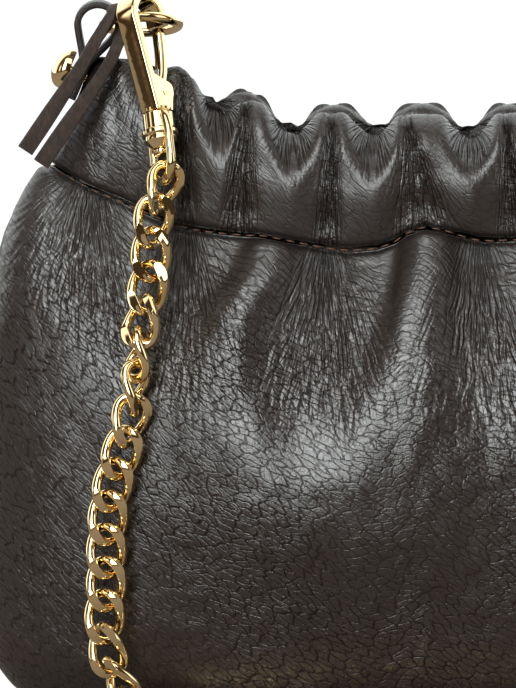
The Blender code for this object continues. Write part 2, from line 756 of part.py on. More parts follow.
def make_clasp(side, end):
    """Clasp body with its shank, the gate, its rivet and its leaf spring."""
    matrix = clasp_matrix(side)
    name = "clasp_body_" + end
    arm = sweep(name, clasp_arm_path(), (0.0, 1.0, 0.0), CLASP_THICK, CLASP_ARM)
    body = add_object(name, arm, GOLD_FINISH, matrix, smooth=False)
    rounding = body.modifiers.new("edge", "BEVEL")
    rounding.width = CLASP_EDGE
    rounding.segments = 1
    rounding.limit_method = "ANGLE"
    rounding.angle_limit = math.radians(50)
    outline = [(x * CHEEK_REACH, z * CHEEK_HEIGHT) for x, z in CHEEK_SHARES]
    face = CLASP_THICK / 2 - CLASP_EDGE / 4
    for number, place in enumerate((-face, face - CHEEK)):
        cheek = prism(f"{name}_cheek_{number}", outline, place, place + CHEEK, GOLD_FINISH, matrix)
        combine(body, as_cutter(cheek), "UNION")
    knob = -BARREL_LENGTH - RUNNING_GAP
    profile = [(0.0, FOOT_THICK + RUNNING_GAP), (FOOT_RADIUS, FOOT_THICK + RUNNING_GAP),
               (FOOT_RADIUS, RUNNING_GAP), (SHANK_RADIUS, RUNNING_GAP), (SHANK_RADIUS, knob),
               (KNOB_RADIUS, knob), (KNOB_RADIUS, knob - KNOB_LENGTH / 2),
               (SHANK_RADIUS, knob - KNOB_LENGTH), (0.0, knob - KNOB_LENGTH)]
    foot = turned(name + "_shank", profile, 12, GOLD_FINISH, matrix)
    combine(body, as_cutter(foot), "UNION")
    drill = as_cutter(rivet_drill(name + "_drill", RIVET_RADIUS + RUNNING_GAP, CLASP_THICK, matrix))
    combine(body, drill, "DIFFERENCE")

    gate_thick = CLASP_THICK - 2 * (CHEEK + CLASP_EDGE / 4 + RUNNING_GAP)
    bar = sweep("gate_" + end, clasp_shares_path(GATE_PATH_SHARES), (0.0, 1.0, 0.0), gate_thick,
                GATE_BAR)
    gate = add_object("gate_" + end, bar, GOLD_FINISH, matrix, smooth=False)
    eye = rivet_drill(f"gate_{end}_eye", GATE_EYE, gate_thick / 2 - CLASP_EDGE / 4, matrix)
    combine(gate, as_cutter(eye), "UNION")
    combine(gate, drill, "DIFFERENCE")
    rivet_drill("gate_rivet_" + end, RIVET_RADIUS, CLASP_THICK / 2, matrix)
    leaf = sweep("gate_spring_" + end, clasp_shares_path(SPRING_PATH_SHARES), (0.0, 1.0, 0.0),
                 gate_thick - 2 * RUNNING_GAP, SPRING)
    add_object("gate_spring_" + end, leaf, STEEL_FINISH, matrix, smooth=False)


def make_swivel(side, end):
    """Swivel: a barrel on the clasp's shank with the bail that holds the chain."""
    matrix = clasp_matrix(side) @ Matrix.Rotation(math.radians(-side * BAIL_TURN), 4, "Z")
    bore = SHANK_RADIUS + RUNNING_GAP
    half = BARREL_LENGTH / 2
    profile = [(bore, 0.0), (BARREL_RADIUS, 0.0), (BARREL_RADIUS, -half * 0.95),
               (FLANGE_RADIUS, -half), (FLANGE_RADIUS, -half * 1.25), (BARREL_RADIUS, -half * 1.35),
               (BARREL_RADIUS, -half * 1.65), (NECK_RADIUS, -BARREL_LENGTH),
               (bore, -BARREL_LENGTH)]
    swivel = turned("swivel_bail_" + end, profile, 12, GOLD_FINISH, matrix)
    curve = bpy.data.curves.new("bail_wire_" + end, "CURVE")
    curve.dimensions = "3D"
    curve.bevel_depth = BAIL_WIRE / 2
    curve.bevel_resolution = 1
    curve.use_fill_caps = True
    spline = curve.splines.new("POLY")
    foot = BAIL_REACH - BAIL_HALF
    legs = [(BARREL_RADIUS, -BAIL_WIRE / 2), (BAIL_HALF, -foot / 2)]
    bow = [(BAIL_HALF * math.cos(turn), -foot - BAIL_HALF * math.sin(turn))
           for turn in np.radians(np.linspace(0, 180, 7))]
    places = legs + bow + [(-x, z) for x, z in reversed(legs)]
    spline.points.add(len(places) - 1)
    for point, (x, z) in zip(spline.points, places):
        point.co = (x, 0.0, z, 1.0)
    wire = bpy.data.objects.new("bail_wire_" + end, curve)
    parts.objects.link(wire)
    wire.matrix_world = matrix
    combine(swivel, as_cutter(as_mesh(wire)), "UNION")


def as_mesh(wire):
    """Turn a curve object into a closed mesh object of the same name and place."""
    seen = wire.evaluated_get(bpy.context.evaluated_depsgraph_get())
    mesh = bpy.data.meshes.new_from_object(seen)
    form = bmesh.new()
    form.from_mesh(mesh)
    bmesh.ops.remove_doubles(form, verts=form.verts, dist=0.00001)
    form.to_mesh(mesh)
    form.free()
    name, matrix = wire.name, wire.matrix_world.copy()
    bpy.data.objects.remove(wire)
    mesh.materials.clear()
    return add_object(name, outward(mesh), GOLD_FINISH, matrix, smooth=False)


def front_depth(x, heights):
    """Return how far forward the bag's front stands at the given places and heights."""
    levels = np.linspace(0, 1, 60)
    rows = np.linspace(0, RIM_ROW / (len(CHANNEL_HEIGHT_SHARES) - 1), 30)
    depths = []
    for place, height in zip(np.abs(x), heights):
        outline = []
        for shares, depth_shares, at, seam in (
                (BELLY_WIDTH_SHARES, BELLY_DEPTH_SHARES, levels, False),
                (CHANNEL_WIDTH_SHARES, CHANNEL_DEPTH_SHARES, rows, True)):
            half_width = BAG_WIDTH / 2 * smooth_share(shares, at)
            half_depth = BAG_DEPTH / 2 * smooth_share(depth_shares, at)
            c = np.clip(place / half_width, 0, 1) ** (PLAN_EXPONENT / 2)
            depth = half_depth * np.sqrt(1 - c**2) ** (2 / PLAN_EXPONENT)
            if seam:
                low, high = seam_level(place), rim_level(place)
                level = low + (high - low) * smooth_share(CHANNEL_HEIGHT_SHARES, at)
            else:
                level = seam_level(place) * smooth_share(BELLY_HEIGHT_SHARES, at)
            outline.append(np.stack([level, depth]))
        level, depth = np.concatenate(outline, axis=1)
        depths.append(np.interp(height, level, depth))
    return np.array(depths)


# The strap's line down the front, as shares of half the bag's width, top to bottom
HANG_ACROSS_SHARES = (0.683, 0.699, 0.700, 0.713, 0.722, 0.730, 0.748, 0.768, 0.775, 0.776, 0.780)


# How far the links are turned about the strap, in degrees: the top ones from the swivel down,
# and the foot's on the way to the table. Those between are turned as the foot's first
TOP_TURN_SHARES = {-1: (-44, -14, 0, 5, 35, 75, 115, 150, 178), 1: (-15, -5)}
FOOT_TURN_SHARES = {-1: (180, 205, 235, 264, 290), 1: (0, 22, 46, 70)}
LANDING_SHARE = 0.77


def bail_foot(side):
    """Return the lowest point of the bail's bow, where the strap starts."""
    return clasp_matrix(side) @ Vector((0.0, 0.0, -BAIL_REACH))


def hanging_links(side):
    """Return how many links hang above the first that the table carries."""
    drop = bail_foot(side).z - LINK_FLAT - TABLE_GAP - LANDING_RADIUS
    return round((drop + LANDING_SHARE * math.pi / 2 * LANDING_RADIUS) / LINK_PITCH)


def link_turns(side):
    """Return how far each hanging link, and the first on the table, is turned."""
    top, foot = TOP_TURN_SHARES[side], FOOT_TURN_SHARES[side]
    between = hanging_links(side) + 1 - len(top) - len(foot)
    return (*top, *([foot[0]] * between), *foot)


def taut(heights, depths):
    """Pull a line of depths tight, so that it bridges hollows as a hanging chain does."""
    held = [0]
    for n in range(1, len(heights)):
        while len(held) > 1:
            a, b = held[-2], held[-1]
            bridge = depths[a] + (depths[n] - depths[a]) * (heights[b] - heights[a]) \
                / (heights[n] - heights[a])
            if bridge < depths[b]:
                break
            held.pop()
        held.append(n)
    return np.interp(-heights, -heights[held], depths[held])


def strap_path(side):
    """Return the left or right half of the strap's route, from its swivel to the middle."""
    bail = bail_foot(side)
    rest = LINK_FLAT + TABLE_GAP
    landing = rest + LANDING_RADIUS
    heights = np.linspace(bail.z, landing, 120)
    share = np.linspace(0, 1, len(heights))
    x = BAG_WIDTH / 2 * smooth_share(HANG_ACROSS_SHARES, share)
    x += (abs(bail.x) - x[0]) * (1 - share) ** 12
    number = (heights[0] - heights) / LINK_PITCH - 1 / 3
    turns = link_turns(side)
    turn = np.radians(np.interp(number, range(len(turns)), turns))
    edge = LINK_HALF_WIDTH + LINK_WIRE / 2
    depths = (front_depth(x, heights) + CHAIN_CLEARANCE
              + np.hypot(LINK_FLAT * np.cos(turn), edge * np.sin(turn)))
    depths[0] = -bail.y
    widest = int(np.argmax(depths))
    depths[widest:] = depths[widest]
    depths = taut(heights, depths)
    hang = np.stack([side * x, -depths, heights], axis=1)

    heading = math.radians(LANDING_HEADING)
    ahead = np.array([-side * math.cos(heading), -math.sin(heading), 0.0])
    turns = np.radians(np.linspace(0, 90, 31))[1:, None]
    arc = hang[-1] + LANDING_RADIUS * ((1 - np.cos(turns)) * ahead
                                       - np.sin(turns) * np.array([0.0, 0.0, 1.0]))
    bend = RUN_TURN_RADIUS * (1 - math.cos(heading))
    straight = (RUN_FRONT - bend + arc[-1, 1]) / math.sin(heading)
    start = arc[-1] + straight * ahead
    turns = heading * (1 - np.linspace(0, 1, 12)[1:])
    sideways = np.array([-side, 0.0, 0.0])
    turn_points = np.stack([
        start[0] - side * RUN_TURN_RADIUS * (math.sin(heading) - np.sin(turns)),
        start[1] - RUN_TURN_RADIUS * (np.cos(turns) - math.cos(heading)),
        np.full(len(turns), start[2])], axis=1)
    end = turn_points[-1].copy()
    end[0] = side * (link_reach(LINK_PITCH) + STRAP_OPEN_GAP / 2)
    return np.concatenate([hang, arc, [start], turn_points, [end]])


def link_reach(pitch):
    """Return half the outer length of a loose link."""
    return (pitch + LINK_WIRE + LINK_PLAY) / 2 + LINK_WIRE / 2


def link_frames(side):
    """Return the frame of every link of one half of the strap, and the chain's pitch."""
    path = strap_path(side)
    length = np.concatenate([[0], np.cumsum(np.linalg.norm(np.diff(path, axis=0), axis=1))])
    first = link_reach(LINK_PITCH) - LINK_WIRE - BAIL_WIRE / 2 - LINK_PLAY
    span = length[-1] - first
    count = round(span / LINK_PITCH)
    pitch = span / count
    at = first + pitch * np.arange(count + 1)
    reach = pitch / 2
    centres, before, after = (
        np.stack([np.interp(at + shift, length, path[:, n]) for n in range(3)], axis=1)
        for shift in (0.0, -reach, reach))
    after[-1] = centres[-1] + (centres[-1] - before[-1])
    frames = []
    turns = link_turns(side)
    for number in range(count + 1):
        down = Vector(after[number] - before[number]).normalized()
        turn = math.radians(turns[min(number, len(turns) - 1)])
        flat = Vector((-math.sin(turn), -math.cos(turn), 0.0))
        if number > hanging_links(side):
            level = Vector((down.x, down.y, 0.0)).normalized()
            flat = Vector((0.0, 0.0, 1.0)) if abs(down.z) < 0.01 else level
        flat = (flat - flat.dot(down) * down).normalized()
        frames.append(frame_matrix(flat.cross(-down), flat, -down, centres[number]))
    return frames, pitch


# The facetted wire is a little wider than the round one, to keep its bulk. A coarse loop of a
# stretch has two more turns at a loose end, in degrees
ROUND_SECTION_SHARE = 1.07
TIP_TURNS = (67.5, 112.5)


def link_mesh(name, pitch, fused_above, fused_below, around, sides):
    """Twisted wire loop with its faces cut flat; a fused end is short by the bite."""
    turn = 90 + np.linspace(0, 360, around, endpoint=False)
    if fused_above or fused_below:
        turn = np.concatenate([turn, [] if fused_above else TIP_TURNS,
                               [] if fused_below else [-place for place in TIP_TURNS]])
    turn = np.radians(np.unique(turn % 360))
    loose = (pitch + LINK_WIRE + LINK_PLAY) / 2
    fused = (pitch + LINK_WIRE - LINK_BITE) / 2
    above = fused if fused_above else loose
    below = fused if fused_below else loose
    half_length = np.where(np.sin(turn) > 0, above, below)
    middle = np.stack([LINK_HALF_WIDTH * np.cos(turn), -LINK_TWIST * np.sin(2 * turn),
                       half_length * np.sin(turn)], axis=1)
    tangent = np.roll(middle, -1, axis=0) - np.roll(middle, 1, axis=0)
    tangent /= np.linalg.norm(tangent, axis=1, keepdims=True)
    out = np.stack([np.cos(turn), np.zeros(len(turn)), np.sin(turn)], axis=1)
    side = np.cross(tangent, out)
    side /= np.linalg.norm(side, axis=1, keepdims=True)
    out = np.cross(side, tangent)
    section = (2 * math.pi * (np.arange(sides) + 0.5) / sides)[:, None]
    radius = LINK_WIRE / 2 * ROUND_SECTION_SHARE
    points = middle[:, None] + radius * (np.cos(section) * out[:, None]
                                         + np.sin(section) * side[:, None])
    points[..., 1] = np.clip(points[..., 1], -LINK_FLAT, LINK_FLAT)
    return outward(grid_mesh(name, points, close_rows=True, close_columns=True))


def make_links(name, frames, pitch, start, stop, around, sides):
    """One node of the chain: a single link, or a stretch of links joined where they bear."""
    made = []
    for number in range(start, stop):
        loop = link_mesh(f"{name}_{number}", pitch, number > start, number < stop - 1,
                         around, sides)
        made.append(add_object(name if number == start else f"{name}_loop_{number}", loop,
                               GOLD_FINISH, frames[number], smooth=False))
    for other in made[1:]:
        combine(made[0], as_cutter(other), "UNION")


def stretches(first, last, count):
    """Split a run of links into nearly equal stretches."""
    marks = np.linspace(first, last, count + 1).round().astype(int)
    return list(zip(marks[:-1], marks[1:]))


FLOOR_STRETCHES = 4
RIGHT_STRETCHES = 4


def make_strap():
    """Both halves of the strap, which meet end to end in front of the bag."""
    frames, pitch = link_frames(-1)
    hanging = hanging_links(-1)
    for number in range(hanging):
        make_links(f"link_{number + 1:02d}", frames, pitch, number, number + 1, 12, 6)
    for number, (start, stop) in enumerate(stretches(hanging, len(frames), FLOOR_STRETCHES)):
        make_links(f"left_run_{number + 1}", frames, pitch, start, stop, 8, 4)
    frames, pitch = link_frames(1)
    hanging = hanging_links(1)
    for number, (start, stop) in enumerate(stretches(0, hanging, RIGHT_STRETCHES)):
        make_links(f"right_fall_{number + 1}", frames, pitch, start, stop, 8, 4)
    for number, (start, stop) in enumerate(stretches(hanging, len(frames), FLOOR_STRETCHES)):
        make_links(f"right_run_{number + 1}", frames, pitch, start, stop, 8, 4)


make_outside()
make_base()
make_lining()
make_elastic()
make_pocket()
make_magnets()
channels = [bpy.data.objects["front_channel"], bpy.data.objects["back_channel"]]
for side, end in ((-1, "left"), (1, "right")):
    tab = make_tab(side, "tab_" + end)
    make_stud(side, "stud_" + end, [tab] + channels)
    make_ring(side, "ring_" + end)
    make_thong(side, "thong_" + end)
    make_clasp(side, end)
    make_swivel(side, end)
make_strap()
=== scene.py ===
# %% [markdown]
# # A gathered leather bag with a curb chain strap
#
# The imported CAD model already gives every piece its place, its body and its joint. Its solids
# are plain, though: the leather has no folds and no grain, and no seam shows a stitch. Here each
# such solid is replaced by a surface worked out in numpy. The other way would be to sculpt the
# bag by hand, but then its folds could not be moved or remade by changing one number.

# %% A gathered leather bag with a curb chain strap
import json
import math

import bmesh
import bpy
import numpy as np
from mathutils import Matrix, Vector

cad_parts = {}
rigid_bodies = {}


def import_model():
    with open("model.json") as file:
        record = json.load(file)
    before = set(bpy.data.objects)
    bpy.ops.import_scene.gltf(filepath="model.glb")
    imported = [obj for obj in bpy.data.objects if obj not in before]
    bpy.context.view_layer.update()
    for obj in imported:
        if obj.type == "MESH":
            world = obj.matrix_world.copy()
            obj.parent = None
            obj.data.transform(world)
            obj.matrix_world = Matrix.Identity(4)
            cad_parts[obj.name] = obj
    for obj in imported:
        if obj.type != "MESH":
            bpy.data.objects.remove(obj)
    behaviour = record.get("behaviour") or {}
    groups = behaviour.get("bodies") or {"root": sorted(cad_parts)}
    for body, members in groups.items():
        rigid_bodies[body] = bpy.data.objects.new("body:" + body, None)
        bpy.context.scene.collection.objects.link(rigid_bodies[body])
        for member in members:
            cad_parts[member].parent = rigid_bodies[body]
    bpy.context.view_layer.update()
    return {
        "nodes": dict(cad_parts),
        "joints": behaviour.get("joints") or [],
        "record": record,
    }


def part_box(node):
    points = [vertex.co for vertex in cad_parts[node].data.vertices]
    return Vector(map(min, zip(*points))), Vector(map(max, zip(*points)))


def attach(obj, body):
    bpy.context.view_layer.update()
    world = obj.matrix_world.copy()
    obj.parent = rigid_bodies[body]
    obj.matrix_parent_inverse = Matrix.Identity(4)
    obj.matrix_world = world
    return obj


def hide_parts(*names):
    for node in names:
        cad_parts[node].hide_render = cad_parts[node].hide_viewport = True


for old in list(bpy.data.objects):
    bpy.data.objects.remove(old, do_unlink=True)
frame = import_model()

# %% [markdown]
# ## Camera
#
# The photograph looks at the left end of the bag from a little above, and shows 160 mm of its
# height. Its edges hardly run together, so it was taken from afar. A short lens near the bag
# would give the same crop, but the ring and the chain would look too large. So the lens is long
# and the camera stands 1.6 m away: lens = sensor width x distance / height seen.

# %% Camera
VIEW_RISE = math.radians(8.5)
VIEW_HEIGHT = 0.160
VIEW_DISTANCE = 1.6
SENSOR_WIDTH = 36.0
target = Vector((-0.06907, -0.030, 0.0924))
forward = Vector((0.0, math.cos(VIEW_RISE), -math.sin(VIEW_RISE)))
lens = bpy.data.cameras.new("camera")
lens.sensor_width = SENSOR_WIDTH
lens.lens = SENSOR_WIDTH * VIEW_DISTANCE / VIEW_HEIGHT
lens.clip_end = 20.0
camera = bpy.data.objects.new("camera", lens)
bpy.context.scene.collection.objects.link(camera)
camera.location = target - VIEW_DISTANCE * forward
camera.rotation_mode = "QUATERNION"
camera.rotation_quaternion = forward.to_track_quat("-Z", "Y")
bpy.context.scene.camera = camera
print("camera at", [round(v, 3) for v in camera.location], "lens", round(lens.lens))

# %% [markdown]
# ## From a grid of points to a mesh
#
# Leather, lace, wire and turned metal are all surfaces with two directions, such as along a
# wire and round it. So nearly every piece here is a grid of points with quads between them.
# Adding the points one by one in a loop would be slow. Numpy works them all out at once, and
# from_pydata hands them to Blender. All lengths are in millimetres until a mesh is made.

# %% From a grid of points to a mesh
MM = 0.001


def unit(vectors):
    """Return the vectors at length one: each is divided by its own length."""
    return vectors / np.maximum(np.linalg.norm(vectors, axis=-1, keepdims=True), 1e-12)


def smooth_step(low, high, x):
    """Rise from 0 to 1 between low and high: three times the square less twice the cube."""
    t = np.clip((x - low) / (high - low), 0, 1)
    return t * t * (3 - 2 * t)


def link(name, mesh):
    """Put a mesh in the scene."""
    made = bpy.data.objects.new(name, mesh)
    bpy.context.scene.collection.objects.link(made)
    return made


def quads_of(index):
    """Return the quads of a grid of point numbers.

    Each joins a point with its right, its upper right and its upper neighbour."""
    corners = [index[:-1, :-1], index[:-1, 1:], index[1:, 1:], index[1:, :-1]]
    return np.stack(corners, axis=-1)


def grid_object(name, points, close_rows=False, close_columns=False, caps=False):
    """Make an object from points[row, column, xyz] in metres, joined as quads."""
    rows, columns = points.shape[:2]
    index = np.arange(rows * columns).reshape(rows, columns)
    ends = [index[0, ::-1], index[-1]]
    if close_rows:
        index = np.concatenate([index, index[:, :1]], axis=1)
    if close_columns:
        index = np.concatenate([index, index[:1]], axis=0)
    faces = quads_of(index).reshape(-1, 4).tolist()
    if caps:
        faces += [end.tolist() for end in ends]
    mesh = bpy.data.meshes.new(name)
    mesh.from_pydata(points.reshape(-1, 3).tolist(), [], faces)
    mesh.update()
    mesh.shade_smooth()
    return link(name, mesh)


def place_in(obj, matrix):
    """Move a mesh into a frame, so that its object stays at the origin."""
    obj.data.transform(matrix)
    obj.data.update()
    return obj


def outward(obj, sharp=None):
    """Turn the faces of a closed mesh outwards, with edges sharper than an angle kept crisp."""
    form = bmesh.new()
    form.from_mesh(obj.data)
    bmesh.ops.recalc_face_normals(form, faces=form.faces)
    form.to_mesh(obj.data)
    form.free()
    obj.data.shade_smooth()
    if sharp is not None:
        obj.data.set_sharp_from_angle(angle=math.radians(sharp))
    return obj


def join(name, pieces):
    """Join objects into one."""
    bpy.ops.object.select_all(action="DESELECT")
    for piece in pieces:
        piece.select_set(True)
    bpy.context.view_layer.objects.active = pieces[0]
    bpy.ops.object.join()
    pieces[0].name = name
    pieces[0].data.name = name
    return pieces[0]


def finish_piece(obj, material, body, slot, *nodes):
    """Give a piece its material and its body, and hide the nodes that it stands for. The slot is
    not used.
    """
    obj.data.materials.clear()
    obj.data.materials.append(material)
    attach(obj, body)
    if nodes:
        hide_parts(*nodes)
    return obj


print("a unit of this script:", MM, "m")

# %% [markdown]
# ## A short way to write node trees
#
# A finish is a tree of nodes that works out a colour, a gloss and a height at every point. It
# could be built by hand in the shader editor. Written in code, the same few calls serve every
# finish, and each number stands where it can be read. A value that is passed to a call can be a
# number or the output of another node.

# %% A short way to write node trees


class Tree:
    """A node tree, with a call for each kind of node used here."""

    def __init__(self, tree):
        self.tree = tree

    def add(self, kind, values=None, inputs=None):
        """Add a node with its properties, and its inputs as values or links."""
        node = self.tree.nodes.new(kind)
        for key, value in (values or {}).items():
            setattr(node, key, value)
        for key, value in (inputs or {}).items():
            if isinstance(value, bpy.types.NodeSocket):
                self.tree.links.new(value, node.inputs[key])
            else:
                node.inputs[key].default_value = value
        return node

    def math(self, operation, *values):
        """Add a Math node and return its output."""
        return self.add("ShaderNodeMath", {"operation": operation},
                        dict(enumerate(values))).outputs[0]

    def ramp(self, value, low, high, to_low=0.0, to_high=1.0):
        """Map a value smoothly from one range to another."""
        return self.add("ShaderNodeMapRange", {"interpolation_type": "SMOOTHSTEP"},
                        {"Value": value, "From Min": low, "From Max": high,
                         "To Min": to_low, "To Max": to_high}).outputs["Result"]

    def mix(self, share, first, second):
        """Mix two colours."""
        node = self.add("ShaderNodeMix", {"data_type": "RGBA"})
        for key, value in ((0, share), (6, first), (7, second)):
            if isinstance(value, bpy.types.NodeSocket):
                self.tree.links.new(value, node.inputs[key])
            else:
                node.inputs[key].default_value = value if key == 0 else (*value, 1.0)
        return node.outputs[2]


class Finish(Tree):
    """A material with a Principled shader and the textures that drive it."""

    def __init__(self, name):
        self.material = bpy.data.materials.new(name)
        self.material.use_nodes = True
        super().__init__(self.material.node_tree)
        self.shader = self.tree.nodes["Principled BSDF"]

    def place(self):
        """Return the place on the object, in metres."""
        return self.add("ShaderNodeTexCoord").outputs["Object"]

    def attribute(self, name):
        """Return a value that the mesh carries at its points."""
        return self.add("ShaderNodeAttribute", {"attribute_name": name}).outputs["Vector"]

    def scaled(self, vector, x, y, z=1.0):
        """Stretch a coordinate."""
        return self.add("ShaderNodeVectorMath", {"operation": "MULTIPLY"},
                        {0: vector, 1: (x, y, z)}).outputs[0]

    def warped(self, vector, reach, guide, scale=1.0):
        """Shift a coordinate by a coloured noise, so far each way."""
        warp = self.add("ShaderNodeTexNoise", None,
                        {"Vector": guide, "Scale": scale, "Detail": 2.0})
        return self.add("ShaderNodeVectorMath", {"operation": "MULTIPLY_ADD"},
                        {0: warp.outputs["Color"], 1: reach, 2: vector}).outputs[0]

    def noise(self, vector, scale, detail=2.0, rough=0.5):
        """Add a Noise texture and return its value."""
        return self.add("ShaderNodeTexNoise", None,
                        {"Vector": vector, "Scale": scale, "Detail": detail,
                         "Roughness": rough}).outputs["Fac"]

    def cells(self, vector, across, along, edge):
        """Return domed cells with creases between them, so many to the millimetre each way."""
        node = self.add("ShaderNodeTexVoronoi", {"feature": "DISTANCE_TO_EDGE",
                                                 "voronoi_dimensions": "2D"},
                        {"Vector": self.scaled(vector, across, along), "Scale": 1.0})
        return self.ramp(node.outputs["Distance"], 0.0, edge)

    def set(self, **inputs):
        """Set or link inputs of the Principled shader, with _ for a space."""
        for key, value in inputs.items():
            socket = self.shader.inputs[key.replace("_", " ")]
            if isinstance(value, bpy.types.NodeSocket):
                self.tree.links.new(value, socket)
            elif isinstance(value, tuple):
                socket.default_value = (*value, 1.0)
            else:
                socket.default_value = value

    def relief(self, height, distance=MM):
        """Drive the surface's bump from a height in millimetres."""
        bump = self.add("ShaderNodeBump", None, {"Height": height, "Distance": distance,
                                                 "Strength": 1.0})
        self.tree.links.new(bump.outputs[0], self.shader.inputs["Normal"])


print("node calls ready")

# %% [markdown]
# ## Pebbled leather
#
# The shell is a dark brown hide. Its grain is crazed into small domed cells with creases
# between them. Where it is drawn in under the seam it wrinkles along the fold, and beside the
# folds the creases run across. One noise could not do all of that. So there are three layers of
# relief, and the shell's points carry the coordinates ("grain" and "flow") and the share of
# each layer. Shade is painted into the creases: they are darker and less glossy than the tops
# of the cells, which stand out lighter.

# %% Pebbled leather
CELL_HEIGHT, MIDDLE_CELL_HEIGHT, FINE_CELL_HEIGHT, PORE_HEIGHT = 0.066, 0.030, 0.012, 0.005
WRINKLE_HEIGHT, FINE_WRINKLE_HEIGHT = 0.34, 0.10
CROSS_HEIGHT, WIDE_CROSS_HEIGHT = 0.12, 0.08
HIDE_DARK, HIDE_LIGHT = (0.0115, 0.0074, 0.0061), (0.0150, 0.0098, 0.0081)
# The lighter brown of the cell tops; the creases keep the darker brown as painted shade
HIDE_UNSHADED_TOP = (0.0190, 0.0126, 0.0106)
HIDE_GLOSS = (0.25, 0.34)


def leather_relief(n, share):
    """Return the leather's height and its share out of the painted crease shade.

    The height is the sum of each layer times its share, and the pores. A place is out of the
    painted shade as far as its cell stands up there; the creases get painted shade."""
    grain, flow = n.attribute("grain"), n.attribute("flow")
    shifted = n.warped(grain, (2.6, 2.6, 0.0), grain, 0.22)
    pebble = n.math("MULTIPLY_ADD", n.cells(shifted, 1.50, 1.90, 0.20), FINE_CELL_HEIGHT,
                    n.math("MULTIPLY", n.cells(shifted, 0.27, 0.62, 0.15), CELL_HEIGHT))
    pebble = n.math("MULTIPLY_ADD", n.cells(shifted, 0.62, 0.80, 0.16), MIDDLE_CELL_HEIGHT, pebble)
    strand = n.warped(flow, (1.3, 6.0, 0.0), n.scaled(flow, 0.25, 0.12))
    along = n.math("MULTIPLY_ADD", n.cells(strand, 1.60, 0.20, 0.30), FINE_WRINKLE_HEIGHT,
                   n.math("MULTIPLY", n.cells(strand, 0.80, 0.085, 0.32), WRINKLE_HEIGHT))
    across = n.math("MULTIPLY", n.cells(shifted, 0.11, 0.60, 0.16),
                    n.math("MULTIPLY_ADD", n.cells(shifted, 0.15, 0.38, 0.30), WIDE_CROSS_HEIGHT,
                           CROSS_HEIGHT))
    height = n.math("MULTIPLY", pebble, share.outputs[2])
    for layer, part in ((along, 0), (across, 1)):
        height = n.math("MULTIPLY_ADD", layer, share.outputs[part], height)
    height = n.math("ADD", height, n.math("MULTIPLY", n.noise(grain, 3.2, 3.0, 0.6), PORE_HEIGHT))
    creased = n.math("SUBTRACT", 1.0, n.ramp(pebble, 0.025, 0.095))
    return height, n.math("SUBTRACT", 1.0, n.math("MULTIPLY", creased, share.outputs[2]))


def leather_material():
    """Dark brown leather with crazed grain, wrinkles and a soft polish."""
    n = Finish("pebbled_brown_leather")
    grain = n.attribute("grain")
    share = n.add("ShaderNodeSeparateXYZ", None, {0: n.attribute("share")})
    height, out_of_crease_shade = leather_relief(n, share)
    n.relief(height)
    colour = n.mix(n.ramp(n.noise(grain, 0.05, 3.0, 0.6), 0.3, 0.7), HIDE_DARK, HIDE_LIGHT)
    # Painted shade: the creases stay darker, and the cell tops are mixed halfway to a lighter
    # brown
    colour = n.mix(n.math("MULTIPLY", out_of_crease_shade, 0.5), colour, HIDE_UNSHADED_TOP)
    polish = n.ramp(n.noise(grain, 0.9, 2.0, 0.6), 0.25, 0.75, *HIDE_GLOSS)
    polish = n.math("ADD", polish, n.ramp(share.outputs[2], 0.05, 0.75, 0.14, 0.0))
    # The specular level is lowered in the creases too, as painted shade
    n.set(Base_Color=colour, Roughness=polish,
          Specular_IOR_Level=n.math("MULTIPLY_ADD", out_of_crease_shade, 0.80, 0.10))
    return n.material


LEATHER = leather_material()
print("leather nodes:", len(LEATHER.node_tree.nodes))

# %% [markdown]
# ## Lace and tab leather
#
# The thong is a flat lace cut from thick leather. Its faces are raw, so it is matte and shows
# fibres along its length: a noise stretched lengthways does that. The tab is smooth leather
# with a faint cell pattern. Both keep their object's own coordinates, so the pattern stays put
# when the ring swings.

# %% Lace and tab leather


def cut_leather_material():
    """Matte brown lace with long fibres and raw edges."""
    n = Finish("cut_brown_leather")
    place = n.place()
    fibre = n.noise(n.scaled(place, 900.0, 900.0, 420.0), 1.0, 5.0, 0.65)
    patch = n.noise(place, 260.0, 3.0, 0.6)
    colour = n.mix(n.ramp(fibre, 0.3, 0.75), (0.024, 0.0150, 0.0115), (0.062, 0.041, 0.032))
    colour = n.mix(n.math("MULTIPLY", n.ramp(patch, 0.45, 0.8), 0.4), colour,
                   (0.030, 0.022, 0.020))
    n.relief(n.math("MULTIPLY", fibre, 0.10))
    n.set(Base_Color=colour, Roughness=0.72, Specular_IOR_Level=0.35)
    return n.material


def tab_material():
    """The side tab's leather, smoother than the shell's."""
    n = Finish("tab_brown_leather")
    place = n.place()
    cells = n.add("ShaderNodeTexVoronoi", {"feature": "DISTANCE_TO_EDGE"},
                  {"Vector": place, "Scale": 900.0}).outputs["Distance"]
    tone = n.noise(place, 300.0, 4.0, 0.6)
    colour = n.mix(n.ramp(tone, 0.3, 0.7), (0.016, 0.0115, 0.0105), (0.030, 0.022, 0.020))
    n.relief(n.math("ADD", n.math("MULTIPLY", n.ramp(cells, 0.0, 0.12), 0.05),
                    n.math("MULTIPLY", tone, 0.10)))
    n.set(Base_Color=colour, Roughness=0.46, Specular_IOR_Level=0.45)
    return n.material


LACE, TAB = cut_leather_material(), tab_material()
print("leathers:", LEATHER.name, LACE.name, TAB.name)

# %% [markdown]
# ## Gold plate and steel
#
# The fittings are cast and plated. Polished metal has hardly a colour of its own: it mirrors
# the room. So the gold is a metallic shader with a small roughness, and what makes it look real
# is the light tent further down. A very low wave keeps the mirror from being perfect, as on any
# cast part. The springs inside the clasps are plain steel, drawn one way.

# %% Gold plate and steel


